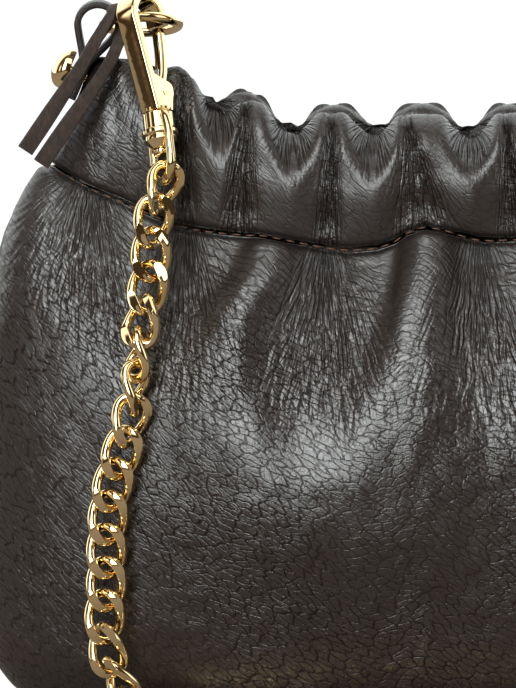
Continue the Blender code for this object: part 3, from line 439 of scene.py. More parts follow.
def gold_material():
    """Polished pale gold plate with faint polishing waves and a few cloudy spots."""
    n = Finish("polished_gold_plate")
    place = n.place()
    wave = n.noise(place, 240.0, 2.0, 0.5)
    cloud = n.noise(place, 500.0, 3.0, 0.6)
    colour = n.mix(n.ramp(n.noise(place, 130.0, 2.0), 0.3, 0.7), (0.92, 0.70, 0.36),
                   (0.95, 0.76, 0.44))
    n.relief(n.math("MULTIPLY", wave, 0.02))
    n.set(Base_Color=colour, Metallic=1.0, Roughness=n.ramp(cloud, 0.4, 0.9, 0.035, 0.10))
    return n.material


def steel_material():
    """Nickel plated steel, drawn lightly one way."""
    n = Finish("nickel_steel")
    lines = n.noise(n.scaled(n.place(), 2600.0, 260.0, 2600.0), 1.0, 3.0)
    n.relief(n.math("MULTIPLY", lines, 0.008))
    n.set(Base_Color=n.mix(lines, (0.50, 0.49, 0.47), (0.62, 0.61, 0.59)), Metallic=1.0,
          Roughness=n.ramp(lines, 0.3, 0.7, 0.22, 0.36))
    return n.material


GOLD, STEEL = gold_material(), steel_material()
print("metals:", GOLD.name, STEEL.name)

# %% [markdown]
# ## Cloth, thread and board
#
# Inside are a cotton lining, a black elastic band and a grey board under the base leather. A
# weave could be modelled thread by thread, which is far too fine for pieces out of sight, so
# two crossed waves stand for the threads. The seam's thread is modelled, and its twist is a
# fine noise.

# %% Cloth, thread and board


def woven_material(name, dark, light, pitch):
    """Plain woven cloth: the higher of two crossed waves, a thread every pitch in metres."""
    n = Finish(name)
    place = n.place()
    waves = []
    for axis in ("X", "Z"):
        waves.append(n.add("ShaderNodeTexWave", {"bands_direction": axis},
                           {"Vector": place, "Scale": 1 / (pitch * 6.2832) * 3.1416,
                            "Distortion": 0.4, "Detail": 1.0}).outputs["Fac"])
    weave = n.math("MAXIMUM", *waves)
    tone = n.noise(place, 160.0, 3.0, 0.6)
    colour = n.mix(n.ramp(tone, 0.3, 0.7), dark, light)
    colour = n.mix(n.math("MULTIPLY", weave, 0.3), colour, light)
    n.relief(n.math("MULTIPLY", weave, 0.12))
    n.set(Base_Color=colour, Roughness=0.86, Sheen_Weight=0.15)
    return n.material


def thread_material():
    """Brown orange sewing thread, twisted."""
    n = Finish("brown_thread")
    twist = n.noise(n.scaled(n.place(), 2400.0, 2400.0, 3200.0), 1.0, 3.0, 0.6)
    n.relief(n.math("MULTIPLY", twist, 0.06))
    n.set(Base_Color=n.mix(n.ramp(twist, 0.3, 0.7), (0.045, 0.020, 0.011), (0.16, 0.065, 0.030)),
          Roughness=0.6)
    return n.material


def board_material():
    """Grey pressed fibre board."""
    n = Finish("grey_board")
    fibre = n.noise(n.place(), 1200.0, 5.0, 0.7)
    n.relief(n.math("MULTIPLY", fibre, 0.05))
    n.set(Base_Color=n.mix(fibre, (0.22, 0.20, 0.18), (0.34, 0.32, 0.29)), Roughness=0.9)
    return n.material


LINING = woven_material("lining_cotton", (0.070, 0.050, 0.040), (0.13, 0.098, 0.080), 0.0005)
ELASTIC = woven_material("black_elastic", (0.014, 0.014, 0.014), (0.03, 0.03, 0.03), 0.0009)
THREAD, BOARD = thread_material(), board_material()
print("materials:", len(bpy.data.materials))

# %% [markdown]
# ## The bag's form
#
# Seen from above the bag is a rounded oval, wide and shallow. Going up, it swells, draws in
# under the seam and narrows into the mouth. It could be modelled as a box and smoothed, but the
# folds have to follow the seam and the rim exactly. So the plan is a superellipse, |x/a|^n +
# |y/b|^n = 1, whose half width a and half depth b come from tables up the bag, read along a
# smooth curve. The sizes and the tables of heights, widths and depths are the CAD model's own.
# The gathers, the lifts, the seam's wander, BELLY_FULL_WIDTHS and CHANNEL_SWELLS are this
# scene's: they round the foot and puff the channel as in the photograph.

# %% The bag's form
BAG_WIDTH, BAG_DEPTH = 269.0, 87.0
SEAM_HEIGHT, CHANNEL_HEIGHT, SEAM_RISE, RIM_RISE = 115.5, 26.5, 15.0, 14.0
RISE_STARTS, SEAM_RISE_RUN, RIM_RISE_RUN, PLAN_EXPONENT = 60.0, 57.0, 36.5, 2.05
SEAM_RISE_POWER, RIM_RISE_POWER = 2.0, 1.3
FOOT = 2.7
BELLY_HEIGHTS = (0.0, 0.10, 0.27, 0.48, 0.70, 0.87, 1.0)
BELLY_WIDTHS = (0.84, 0.905, 0.965, 1.0, 0.995, 0.950, 0.880)
BELLY_DEPTHS = (0.78, 0.90, 0.99, 1.0, 0.89, 0.68, 0.47)
CHANNEL_HEIGHTS = (0.015, 0.20, 0.46, 0.72, 0.92, 1.0, 0.93, 0.70, 0.36, 0.03)
CHANNEL_WIDTHS = (0.878, 0.866, 0.847, 0.825, 0.806, 0.788, 0.770, 0.758, 0.772, 0.786)
CHANNEL_DEPTHS = (0.475, 0.530, 0.505, 0.415, 0.305, 0.215, 0.130, 0.170, 0.260, 0.325)
BELLY_FULL_WIDTHS = (0.925, 0.985, 1.0, 1.0, 0.995, 0.950, 0.880)
CHANNEL_SWELLS = (0.475, 0.500, 0.508, 0.452, 0.332, 0.215, 0.130, 0.170, 0.260, 0.325)
CHANNEL_GATHERS = (0.15, 0.75, 1.0, 1.0, 0.95, 0.80, 0.5, 0.2, 0.1, 0.0)
CHANNEL_LIFTS = (0.0, 0.4, 0.8, 1.0, 1.05, 1.05, 1.0, 0.7, 0.3, 0.0)
# How the seam wanders from its smooth line
SEAM_PLACES = (-117, -101, -88.4, -80.9, -75.6, -68.6, -59.3, -47.7, -41.4, -37.2, -34.7, -29.8,
               -21.9, -17.7, -12.8, 0, 13, 21, 30, 41, 48, 60, 72, 88, 101, 117)
SEAM_SHIFTS = (0, 0, -1.2, -0.6, -0.3, 0.1, -1.1, -2.7, -2.1, -0.6, 1.3, 2.7, 1.1, 0.2, 0, 0.4,
               -0.6, -1.6, 0.9, 2.0, -0.4, -1.8, 0.6, -0.9, 0, 0)


def smooth_share(shares, at):
    """Read a Catmull-Rom curve through evenly spaced shares.

    Between two shares it is the cubic whose slope at each of them is half the step between
    that share's neighbours."""
    shares = np.asarray(shares, float)
    padded = np.concatenate([[2 * shares[0] - shares[1]], shares, [2 * shares[-1] - shares[-2]]])
    place = np.clip(np.asarray(at, float), 0, 1) * (len(shares) - 1)
    first = np.minimum(place.astype(int), len(shares) - 2)
    t = place - first
    a, b, c, d = (padded[first + n] for n in range(4))
    return 0.5 * (2 * b + (c - a) * t + (2 * a - 5 * b + 4 * c - d) * t**2
                  + (3 * b - a - 3 * c + d) * t**3)


def rise(x, run, power):
    """Return the share by which an edge has risen: the way past its start, over its run."""
    return np.clip((np.abs(x) - RISE_STARTS) / run, 0, None) ** power


def seam_line(x):
    """Return the seam's smooth height, without its wander."""
    return SEAM_HEIGHT + SEAM_RISE * rise(x, SEAM_RISE_RUN, SEAM_RISE_POWER)


def seam_level(x, mirror=1.0):
    """Return the height of the seam under the channel: its smooth line and its wander."""
    return seam_line(x) + np.interp(mirror * x, SEAM_PLACES, SEAM_SHIFTS)


def rim_level(x):
    """Return the height of the rim, which levels off near the tabs."""
    share = np.minimum(rise(x, RIM_RISE_RUN, RIM_RISE_POWER), 1.0)
    return SEAM_HEIGHT + CHANNEL_HEIGHT + RIM_RISE * share


def plan(half_width, half_depth, turn):
    """Return x and y on the plan outline, from the left seam round the front.

    They are the half width times the cosine of the turn, and the half depth times its sine,
    each raised to two over the plan's exponent, with its sign kept."""
    c, s = np.cos(turn), np.sin(turn)
    x = -half_width * np.sign(c) * np.abs(c) ** (2 / PLAN_EXPONENT)
    y = -half_depth * np.sign(s) * np.abs(s) ** (2 / PLAN_EXPONENT)
    return x, y


def even_turns(count, half_width, half_depth):
    """Return turns from the left seam to the right one, spaced evenly along the outline.

    The outline's length is added up over many short steps, and read backwards."""
    fine = np.linspace(0, math.pi, 4001)
    x, y = plan(half_width, half_depth, fine)
    length = np.concatenate([[0], np.cumsum(np.hypot(np.diff(x), np.diff(y)))])
    return np.interp(np.linspace(0, length[-1], count), length, fine)


print("seam", SEAM_HEIGHT, "mm up, rim", rim_level(0.0), "mm up in the middle")

# %% [markdown]
# ## A leather sheet from a grid
#
# Real leather has a thickness and a cut edge. Solidify could give it, with twice as many faces
# as needed, because nobody sees the inner side's wrinkles. So the sheet is built directly: a
# fine outer face, a coarser inner one behind it, and a strip of faces that closes the edge.
# Small unevenness comes from value noise: random numbers at the corners of a grid, blended
# smoothly between them. Its table has a fixed seed, so each run gives the same bag.

# %% A leather sheet from a grid
SHELL_POINTS, SHELL_COLUMNS, BACK_STEP = {}, {}, 5
GRAIN_SLANT = math.radians(28)
white_noise = np.random.default_rng(7).random((16, 64, 64))


def soft_noise(x, y, seed=0):
    """Smooth value noise from -1 to 1, one cell per unit.

    The random numbers at a cell's four corners are mixed by how far across and up the place
    is, each way eased by three times the square less twice the cube."""
    table = white_noise[seed % 16]
    column, row = np.floor(x).astype(int), np.floor(y).astype(int)
    a, b = x - column, y - row
    a, b = a * a * (3 - 2 * a), b * b * (3 - 2 * b)
    corner = [[table[(row + j) % 64, (column + i) % 64] for i in (0, 1)] for j in (0, 1)]
    low = corner[0][0] * (1 - a) + corner[0][1] * a
    high = corner[1][0] * (1 - a) + corner[1][1] * a
    return 2 * (low * (1 - b) + high * b) - 1


def grid_normals(points):
    """Return unit normals of a grid: across its rows times up its columns."""
    along = np.gradient(points, axis=1)
    up = np.gradient(points, axis=0)
    return unit(np.cross(along, up))


def backed_shell(name, points, thickness, step):
    """Make a sheet from a fine face grid, with a coarser inner face a thickness behind it."""
    inner = points[::step, ::step] - thickness * grid_normals(points)[::step, ::step]
    rows, columns = points.shape[:2]
    back_rows, back_columns = inner.shape[:2]
    face = np.arange(rows * columns).reshape(rows, columns)
    back = rows * columns + np.arange(back_rows * back_columns).reshape(back_rows, back_columns)
    faces = quads_of(face).reshape(-1, 4).tolist()
    faces += quads_of(back)[..., ::-1].reshape(-1, 4).tolist()
    for line, behind in ((face[0, ::-1], back[0, ::-1]), (face[-1], back[-1]),
                         (face[:, 0], back[:, 0]), (face[::-1, -1], back[::-1, -1])):
        for n in range(len(behind) - 1):
            span = line[n * step:(n + 1) * step + 1]
            faces.append([*span[::-1].tolist(), int(behind[n]), int(behind[n + 1])])
    mesh = bpy.data.meshes.new(name)
    mesh.from_pydata(np.concatenate([points.reshape(-1, 3), inner.reshape(-1, 3)]).tolist(), [],
                     faces)
    mesh.update()
    mesh.shade_smooth()
    SHELL_POINTS[name], SHELL_COLUMNS[name] = rows * columns, columns
    return link(name, mesh)


def slanted(x, drop):
    """Return the grain's coordinates: place and drop, turned by the grain's slant.

    The first runs down to the right, the second square to it."""
    c, s = math.cos(GRAIN_SLANT), math.sin(GRAIN_SLANT)
    return np.stack([x * c + drop * s, drop * c - x * s, np.zeros_like(x)], axis=-1)


def leather_sheet(name, front, points, thickness, looks):
    """Make one leather panel and store at its points what the material reads.

    The back is worked out as a front and then turned round: y changes its sign, and the columns
    run the other way, so that its faces still point outwards."""
    if not front:
        points[..., 1] = -points[..., 1]
        points = points[:, ::-1]
    made = backed_shell(name, points * MM, thickness * MM, BACK_STEP)
    for key, values in looks.items():
        values = values if front else values[:, ::-1]
        behind = values[::BACK_STEP, ::BACK_STEP].reshape(-1, 3)
        layer = made.data.attributes.new(key, "FLOAT_VECTOR", "POINT")
        both = np.concatenate([values.reshape(-1, 3), behind]).astype(np.float32)
        layer.data.foreach_set("vector", both.ravel())
    return made


print("noise table:", white_noise.shape)

# %% [markdown]
# ## The belly
#
# The channel gathers the leather, so the belly under it falls in ridges with valleys between
# them. A fan of wrinkles opens below each valley, and the hide bulges out where the fans end.
# A cloth simulation would give folds too, but not these ones. Each ridge and valley is
# therefore a line read from the photograph with a bell-shaped section, and the sum of all of
# them pushes the smooth form out along its normals.

# %% The belly
PANEL_LEATHER = 1.8
TURN_IN, TURN_ROWS = 0.020, 6
DROP_STRETCH = 1.12
# Where the leather is drawn in under the seam: (place, depth)
VALLEYS = ((-108.0, 0.3), (-86.0, 0.9), (-53.0, 1.0), (-18.0, 0.9), (17.0, 1.0), (50.0, 1.0),
           (85.0, 0.9), (108.0, 0.3))
VALLEY_WIDTH, VALLEY_SPREAD, VALLEY_DEPTH, VALLEY_REACH = 3.0, 0.17, 3.2, 26
# Ridges: how wide and how tall they are at these drops below the seam, and the height and the
# places of each
RIDGE_DROPS = (0.0, 10.0, 20.0, 32.0, 46.0, 64.0)
RIDGE_HALF_WIDTHS = (5.2, 6.4, 8.0, 10.5, 14.0, 18.0)
RIDGE_SHARES = (0.95, 1.0, 0.92, 0.72, 0.36, 0.0)
RIDGES = ((1.8, (-119.0, -120.0, -121.0, -120.0, -117.0, -110.0)),
          (4.2, (-65.0, -67.5, -73.5, -79.2, -79.0, -76.0)),
          (4.3, (-28.6, -29.4, -31.4, -33.8, -38.0, -45.0)),
          (3.2, (2.0, 4.5, 9.0, 13.0, 14.0, 12.0)),
          (3.6, (35.0, 34.0, 31.0, 28.0, 27.0, 30.0)),
          (3.8, (66.0, 69.0, 74.0, 79.0, 79.0, 75.0)),
          (1.2, (119.0, 121.0, 122.0, 121.0, 119.0, 113.0)))
# Broad bulges under the fans: (place, drop, half width, half height, height)
BULGES = ((-62.0, 65.0, 30.0, 20.0, 3.2), (-8.0, 48.0, 15.0, 15.0, 1.3),
          (52.0, 52.0, 24.0, 17.0, 2.4))
FAN_START, FAN_HALF_ANGLE, FAN_REACH, FAN_BORDER = 9.0, 0.50, 40, 9
FAN_WIDTH, FAN_APART = 26, 40
DEEPEST, TALLEST, LOWEST = -3.4, 5.0, 0.3
SEAM_GROOVE, FOOT_GROOVE, SIDE_GROOVE, SIDE_GROOVE_TURN = 1.1, 1.0, 0.5, 0.012


def curve(at, places, values):
    """Read a table along a line whose corners are rounded by a running mean."""
    fine = np.linspace(places[0], places[-1], 400)
    ease = np.interp(fine, places, values)
    width = 31
    padded = np.pad(ease, width // 2, mode="edge")
    return np.interp(at, fine, np.convolve(padded, np.ones(width) / width, mode="valid"))


def belly_grid(front, columns, rows):
    """Lay the belly's grid: columns round the plan, rows from the base up to the seam.

    In the lowest rows the half width follows a quarter of a circle, so that the foot turns in."""
    mirror = 1.0 if front else -1.0
    turns = even_turns(columns, BAG_WIDTH / 2, BAG_DEPTH / 2)
    levels = np.concatenate([np.linspace(0, TURN_IN, TURN_ROWS + 1)[:-1],
                             np.linspace(TURN_IN, 1, rows - TURN_ROWS)])
    level, turn = np.meshgrid(levels, turns, indexing="ij")
    tucked = np.clip(level / TURN_IN, 0, 1)
    widths = smooth_share(BELLY_FULL_WIDTHS, level)
    widths = BELLY_WIDTHS[0] + (widths - BELLY_WIDTHS[0]) * np.sqrt(1 - (1 - tucked) ** 2)
    x, y = plan(BAG_WIDTH / 2 * widths, BAG_DEPTH / 2 * smooth_share(BELLY_DEPTHS, level), turn)
    height = smooth_share(BELLY_HEIGHTS, level)
    lift = (seam_level(x, mirror) - SEAM_HEIGHT) * height**3
    points = np.stack([x, y, FOOT + (SEAM_HEIGHT - FOOT) * height + lift], axis=-1)
    drop = np.clip(seam_level(x, mirror) - points[..., 2], 0, None) * DROP_STRETCH
    return level, turn, mirror * x, drop, points


def belly_ridges(place, drop):
    """Return how far the ridges stand out: each is its height, times its share at this drop,
    times e to the minus cube of the way from its line over its half width."""
    half_width = np.interp(drop, RIDGE_DROPS, RIDGE_HALF_WIDTHS)
    share = np.interp(drop, RIDGE_DROPS, RIDGE_SHARES)
    push = np.zeros_like(place)
    for tall, places in RIDGES:
        line = place - curve(drop, RIDGE_DROPS, places)
        push += tall * share * np.exp(-np.abs(line / half_width) ** 3)
    return push * smooth_step(-0.5, 3.5, drop)


def belly_valleys(place, drop):
    """Return how far the leather is drawn in under the seam: bells that widen downwards."""
    valley = np.zeros_like(place)
    for middle, deep in VALLEYS:
        valley += deep * np.exp(-((place - middle) / (VALLEY_WIDTH + VALLEY_SPREAD * drop)) ** 2)
    return VALLEY_DEPTH * valley * np.exp(-drop / VALLEY_REACH) * smooth_step(-1.5, 6, drop)


def valley_fan(place, drop):
    """Return how much a place lies in a fan of wrinkles, and its place across the fan.

    A fan opens downwards from a point a little above the seam: its share is e to the minus
    square of the angle off its middle, and it ends between two of them."""
    valleys = np.array([row[0] for row in VALLEYS])
    away = np.sort(np.abs(place[..., None] - valleys), axis=-1)
    number = np.argmin(np.abs(place[..., None] - valleys), axis=-1)
    turn = np.arctan2(place - valleys[number], drop + FAN_START)
    border = smooth_step(0, FAN_BORDER, away[..., 1] - away[..., 0])
    share = np.exp(-(turn / FAN_HALF_ANGLE) ** 2) * border
    return share, turn * FAN_WIDTH + FAN_APART * number


print("ridges:", len(RIDGES), "valleys:", len(VALLEYS), "bulges:", len(BULGES))

# %% [markdown]
# ## What the strap does to the belly
#
# The chain lies against the front, and leather under it cannot stand out. Swung inwards, the
# right half of the strap would cut into the hide, so the leather gives way there. It would be
# easier to move the chain away, but its place belongs to the CAD model and its joints.

# %% What the strap does to the belly
CHAIN_PLACE, CHAIN_REACH, CHAIN_HOLD = 99, 12, 0.85
RIGHT_CHAIN_PLACE, RIGHT_CHAIN_HALF, RIGHT_CHAIN_YIELD = 90, 12, 1.3


def give_way(push, place, drop):
    """Take back what stands out near the strap, by a bell round the strap's line."""
    right = np.clip(np.abs(place - RIGHT_CHAIN_PLACE) - RIGHT_CHAIN_HALF, 0, None)
    away = np.where(place < 0, np.abs(place + CHAIN_PLACE), right)
    near = np.where(place < 0, CHAIN_HOLD, 1.0) * np.exp(-((away / CHAIN_REACH) ** 2))
    push = np.where(push > 0, push * (1 - near), push)
    return push - np.where(place < 0, 0.0, RIGHT_CHAIN_YIELD) * near * smooth_step(26, 38, drop)


def belly_shell(name, front, columns, rows):
    """One half of the belly: its smooth grid, pushed out along its normals.

    The push is the sum of ridges, bulges, noise and wrinkled fans, less the valleys and the
    grooves at the edges. Three shares are kept for the leather: of wrinkles along the folds,
    of creases across them, and of pebbles."""
    seed = 0 if front else 5
    level, turn, place, drop, points = belly_grid(front, columns, rows)
    normal = grid_normals(points)
    push = belly_ridges(place, drop)
    ridge = np.clip(push / 3.0, 0, 1)
    for middle, low, wide, high, tall in BULGES:
        push += tall * np.exp(-((place - middle) / wide) ** 2 - ((drop - low) / high) ** 2)
    push -= belly_valleys(place, drop)
    push += 0.9 * soft_noise(place / 30 + 3, drop / 50 + 1, seed) * smooth_step(10, 50, drop)
    push += 0.40 * soft_noise(place / 12, drop / 24, seed + 1) * smooth_step(6, 26, drop)
    fan, across = valley_fan(place, drop)
    fan = np.exp(-(drop / FAN_REACH) ** 4) * fan * (1 - 0.7 * ridge)
    push += 0.50 * fan * soft_noise(across / 2.4, drop / 13, seed + 2)
    push += 0.15 * soft_noise(place / 4.1, drop / 5.2, seed + 3) * smooth_step(2, 20, drop)
    push -= SEAM_GROOVE * np.exp(-drop**2)
    push -= FOOT_GROOVE * smooth_step(0.06, 0.0, level)
    side = np.minimum(turn, math.pi - turn)
    push -= SIDE_GROOVE * np.exp(-(side / SIDE_GROOVE_TURN) ** 2)
    push = give_way(push, place, drop)
    points = points + np.clip(push, DEEPEST, TALLEST)[..., None] * normal
    points[..., 2] = np.maximum(points[..., 2], LOWEST)

    patches = smooth_step(-0.5, 0.4, soft_noise(place / 22, drop / 26, seed + 4))
    beside = np.zeros_like(place)
    for middle, _ in VALLEYS:
        beside += np.exp(-((place - middle - 8) / 4.5) ** 2 - ((drop - 8) / 8) ** 2)
    share = np.stack([np.clip(fan * 1.25 * (1 - 0.7 * beside), 0, 1),
                      np.clip(0.75 * ridge * np.exp(-(drop / 38) ** 2) + 1.3 * beside, 0, 1.3),
                      (0.25 + 0.75 * smooth_step(4, 34, drop)) * (0.65 + 0.35 * patches)], axis=-1)
    flow = np.stack([across, drop, np.zeros_like(place)], axis=-1)
    return leather_sheet(name, front, points, PANEL_LEATHER,
                         {"share": share, "grain": slanted(place, drop), "flow": flow})


for name, front, grid in (("front_panel", True, (441, 191)), ("back_panel", False, (381, 151))):
    panel = belly_shell(name + "_leather", front, *grid)
    finish_piece(panel, LEATHER, "bag", "leather", name)
    print(panel.name, len(panel.data.polygons), "faces")

# %% [markdown]
# ## The gathered channel
#
# An elastic band runs in the channel and bunches it into puffs. At the rim each puff is pinched
# from its neighbour, and short wrinkles run out of the pinch. Narrow strips of slack leather
# lie folded between the puffs. The wave is the size of a sine without its sign, so that its
# tops are broad and its pinches narrow, as in real gathers. A plain sine looks like a curtain.

# %% The gathered channel
CHANNEL_LEATHER = 1.4
PINCHES = (-95.0, -78.0, -61.3, -42.3, -19.5, 0.0, 19.5, 41.0, 61.3, 80.0, 95.0)
# Wrinkled folds of the channel: (place at the rim, place at the seam, half width there)
STRIPS = ((-86.5, -88.0, 4.0), (-71.9, -73.5, 4.6), (-51.8, -53.0, 3.2), (-34.2, -30.2, 8.0),
          (-11.0, -9.0, 4.0), (9.5, 8.0, 3.4), (30.0, 33.0, 7.0), (51.0, 50.0, 3.4),
          (70.5, 72.0, 5.0), (87.0, 88.0, 4.0))
STRIP_HALF_AT_RIM, STRIP_DEPTH = 1.2, 1.7
PUFF_LIFT, PUFF_AT_SEAM, PUFF_AT_RIM = 1.9, -0.7, 1.9
POCKET_RADIUS, POCKET_DEPTH = 4.4, 2.1
SHOULDER_RADIUS, SHOULDER_HALF, SHOULDER_HEIGHT = 6.6, 2.2, 0.75
SWIVEL_PLACE, SWIVEL_HALF, SWIVEL_YIELD = 92, 8, 1.1


def lobe_wave(place):
    """Return 1 at the top of each gather and -1 in each pinch, and the place among them.

    It is twice the root of the squared sine of the phase, less one. A small number under the
    root rounds the pinches, and the whole fades out towards the ends."""
    phase = np.interp(place, PINCHES, np.arange(len(PINCHES)))
    fade = smooth_step(0, 12, 97 - np.abs(place))
    swell = np.sqrt((np.sin(math.pi * phase) ** 2 + 0.04) / 1.04)
    return (2 * swell - 1) * fade, phase


def channel_strips(place, height, outer):
    """Return how much a place lies in a folded strip, and its place across the strip.

    A strip is widest at the seam and narrows towards the rim."""
    strip, across = np.zeros_like(place), np.zeros_like(place)
    for number, (top, foot, half) in enumerate(STRIPS):
        middle = foot + (top - foot) * height
        wide = STRIP_HALF_AT_RIM + (half - STRIP_HALF_AT_RIM) * np.clip(1 - height, 0, 1) ** 1.3
        away = (place - middle) / wide
        here = np.exp(-np.abs(away) ** 3) * np.where(outer, 1, 0.3)
        across = np.where(here > strip, away * 5.0 + 30 * number, across)
        strip = np.maximum(strip, here)
    return strip, across


def channel_shell(name, front, columns, rows):
    """One half of the gathered channel, from the seam over the rim and down inside.

    The plan swells by the puffs' wave times the sine of the turn, which is fullest in front.
    Then strips, pinches and grooves push it in along its normals, and shoulders push it out."""
    mirror = 1.0 if front else -1.0
    seed = 8 if front else 11
    turns = even_turns(columns, BAG_WIDTH / 2 * 0.84, BAG_DEPTH / 2 * 0.45)
    level, turn = np.meshgrid(np.linspace(0, 1, rows), turns, indexing="ij")
    x, y = plan(BAG_WIDTH / 2 * smooth_share(CHANNEL_WIDTHS, level),
                BAG_DEPTH / 2 * smooth_share(CHANNEL_SWELLS, level), turn)
    place = mirror * x
    wave, phase = lobe_wave(place)
    height = smooth_share(CHANNEL_HEIGHTS, level)
    low, high = seam_level(x, mirror), rim_level(x)
    z = low + (high - low) * height + PUFF_LIFT * wave * smooth_share(CHANNEL_LIFTS, level)
    up = height * CHANNEL_HEIGHT
    outer = level < CHANNEL_HEIGHTS.index(1.0) / (len(CHANNEL_HEIGHTS) - 1)
    climb = PUFF_AT_SEAM + (PUFF_AT_RIM - PUFF_AT_SEAM) * smooth_step(0.50, 0.88, height)
    puff = np.where(outer, climb, PUFF_AT_RIM) * wave * smooth_share(CHANNEL_GATHERS, level)
    points = np.stack([x, y - puff * np.sin(turn), z], axis=-1)
    normal = grid_normals(points)

    below_rim = np.where(outer, CHANNEL_HEIGHT - up, up - CHANNEL_HEIGHT) + 1.5
    strip, strip_across = channel_strips(place, height, outer)
    pinch_place = np.interp(np.round(phase), np.arange(len(PINCHES)), PINCHES)
    from_pinch = place - pinch_place
    in_row = smooth_step(99, 93, np.abs(pinch_place))
    reach = np.hypot(from_pinch, below_rim * 0.55)
    pocket = np.exp(-(reach / POCKET_RADIUS) ** 2) * in_row
    shoulder = np.exp(-((reach - SHOULDER_RADIUS) / SHOULDER_HALF) ** 2) * in_row * outer
    pinch_across = np.arctan2(from_pinch, np.abs(below_rim) + 1.0) * 11 + 30 * np.round(phase)
    wrinkled_pinch = np.clip(pocket * 1.3, 0, 1)

    push = -STRIP_DEPTH * strip * smooth_step(0.0, 0.2, height) * smooth_step(1.0, 0.80, height)
    push -= POCKET_DEPTH * pocket
    push += SHOULDER_HEIGHT * shoulder * (1 - strip)
    push += 0.40 * strip * soft_noise(strip_across / 2.0, up / 6, seed)
    push += 0.40 * wrinkled_pinch * soft_noise(pinch_across / 2.2, reach / 9, seed + 1)
    push += 0.30 * soft_noise(place / 9, up / 11, seed + 2)
    end = smooth_step(88, 100, np.abs(place))
    push += end * (0.55 * soft_noise(place / 6, up / 24, seed + 3)
                   + 0.30 * soft_noise(place / 3, up / 12, seed + 4))
    push -= 1.0 * np.exp(-(up**2)) * outer
    side = np.minimum(turn, math.pi - turn)
    push -= 0.4 * np.exp(-(side / SIDE_GROOVE_TURN) ** 2)
    push -= SWIVEL_YIELD * np.exp(-((np.abs(place) - SWIVEL_PLACE) / SWIVEL_HALF) ** 2) * outer
    points = points + push[..., None] * normal

    wrinkled = np.clip(np.maximum(strip, wrinkled_pinch) * 1.2, 0, 1)
    share = np.stack([np.clip(wrinkled + 0.10 * end, 0, 1), 0.13 * (1 - wrinkled),
                      0.32 + 0.45 * strip + 0.20 * end], axis=-1)
    in_strip = strip > wrinkled_pinch
    flow = np.stack([np.where(in_strip, strip_across, pinch_across),
                     np.where(in_strip, up, np.abs(below_rim)), np.zeros_like(x)], axis=-1)
    return leather_sheet(name, front, points, CHANNEL_LEATHER,
                         {"share": share, "grain": slanted(place, -up), "flow": flow})


for name, front, grid in (("front_channel", True, (461, 151)),
                          ("back_channel", False, (401, 121))):
    channel = channel_shell(name + "_leather", front, *grid)
    finish_piece(channel, LEATHER, "bag", "leather", name)
    print(channel.name, len(channel.data.polygons), "faces")

# %% [markdown]
# ## Wires, straps and turned metal
#
# The rest is metal and lace. A wire or a strap is a section carried along a path. A turned
# fitting, such as the stud, is a profile that goes round an axis. Both could be had from
# Blender's curve objects and its Screw modifier. Here they are worked out as grids instead, so
# that the section can change on the way, as where the thong's ends flare.

# %% Wires, straps and turned metal
SWEEP_CREASE = 35


def sweep(name, path, section, wide, closed=False):
    """Carry a closed section[n, 2] (wide, thick) along a path, wide along the given axes.

    A point is the path's, plus its wide share times the axis across, plus its thick share
    times the cross product of the path's tangent and that axis."""
    path = np.asarray(path, float)
    if closed:
        tangent = np.roll(path, -1, axis=0) - np.roll(path, 1, axis=0)
    else:
        tangent = np.gradient(path, axis=0)
    tangent = unit(tangent)
    wide = np.broadcast_to(np.asarray(wide, float), path.shape)
    wide = unit(wide - np.sum(wide * tangent, axis=1, keepdims=True) * tangent)
    thick = np.cross(tangent, wide)
    section = np.asarray(section, float)
    if section.ndim == 2:
        section = np.broadcast_to(section, (len(path), *section.shape))
    points = (path[:, None] + section[..., :1] * wide[:, None]
              + section[..., 1:] * thick[:, None])
    made = grid_object(name, points, close_rows=True, close_columns=closed, caps=not closed)
    return outward(made, SWEEP_CREASE)


def round_section(radius, sides=20):
    """Return a circle: the radius times the cosine and the sine of even turns."""
    turn = 2 * math.pi * (np.arange(sides) + 0.5) / sides
    return radius * np.stack([np.cos(turn), np.sin(turn)], axis=1)


def box_section(width, thickness, edge, steps=4):
    """Return a rectangle with rounded corners.

    Each corner is a quarter circle, turned into place and shifted to it."""
    turn = np.radians(np.linspace(0, 90, steps + 1))
    corner = edge * np.stack([np.cos(turn), np.sin(turn)], axis=1)
    half = np.array((width / 2 - edge, thickness / 2 - edge))
    points = []
    for quarter, (sx, sy) in enumerate(((1, 1), (-1, 1), (-1, -1), (1, -1))):
        c, s = math.cos(quarter * math.pi / 2), math.sin(quarter * math.pi / 2)
        points.append(corner @ np.array(((c, s), (-s, c))) + half * np.array((sx, sy)))
    return np.concatenate(points)


def lathe(name, profile, segments=72, sharp=28):
    """Turn a profile of (radius, height), listed down its outer side, round local Z.

    A point is the radius times the cosine and the sine of a turn, at its height."""
    profile = np.asarray(profile, float)
    turn = 2 * math.pi * np.arange(segments) / segments
    points = np.stack([profile[:, :1] * np.cos(turn), profile[:, :1] * np.sin(turn),
                       np.repeat(profile[:, 1:], segments, axis=1)], axis=-1)
    made = grid_object(name, points, close_rows=True, caps=True)
    form = bmesh.new()
    form.from_mesh(made.data)
    bmesh.ops.remove_doubles(form, verts=form.verts, dist=1e-7)
    form.to_mesh(made.data)
    form.free()
    return outward(made, sharp)


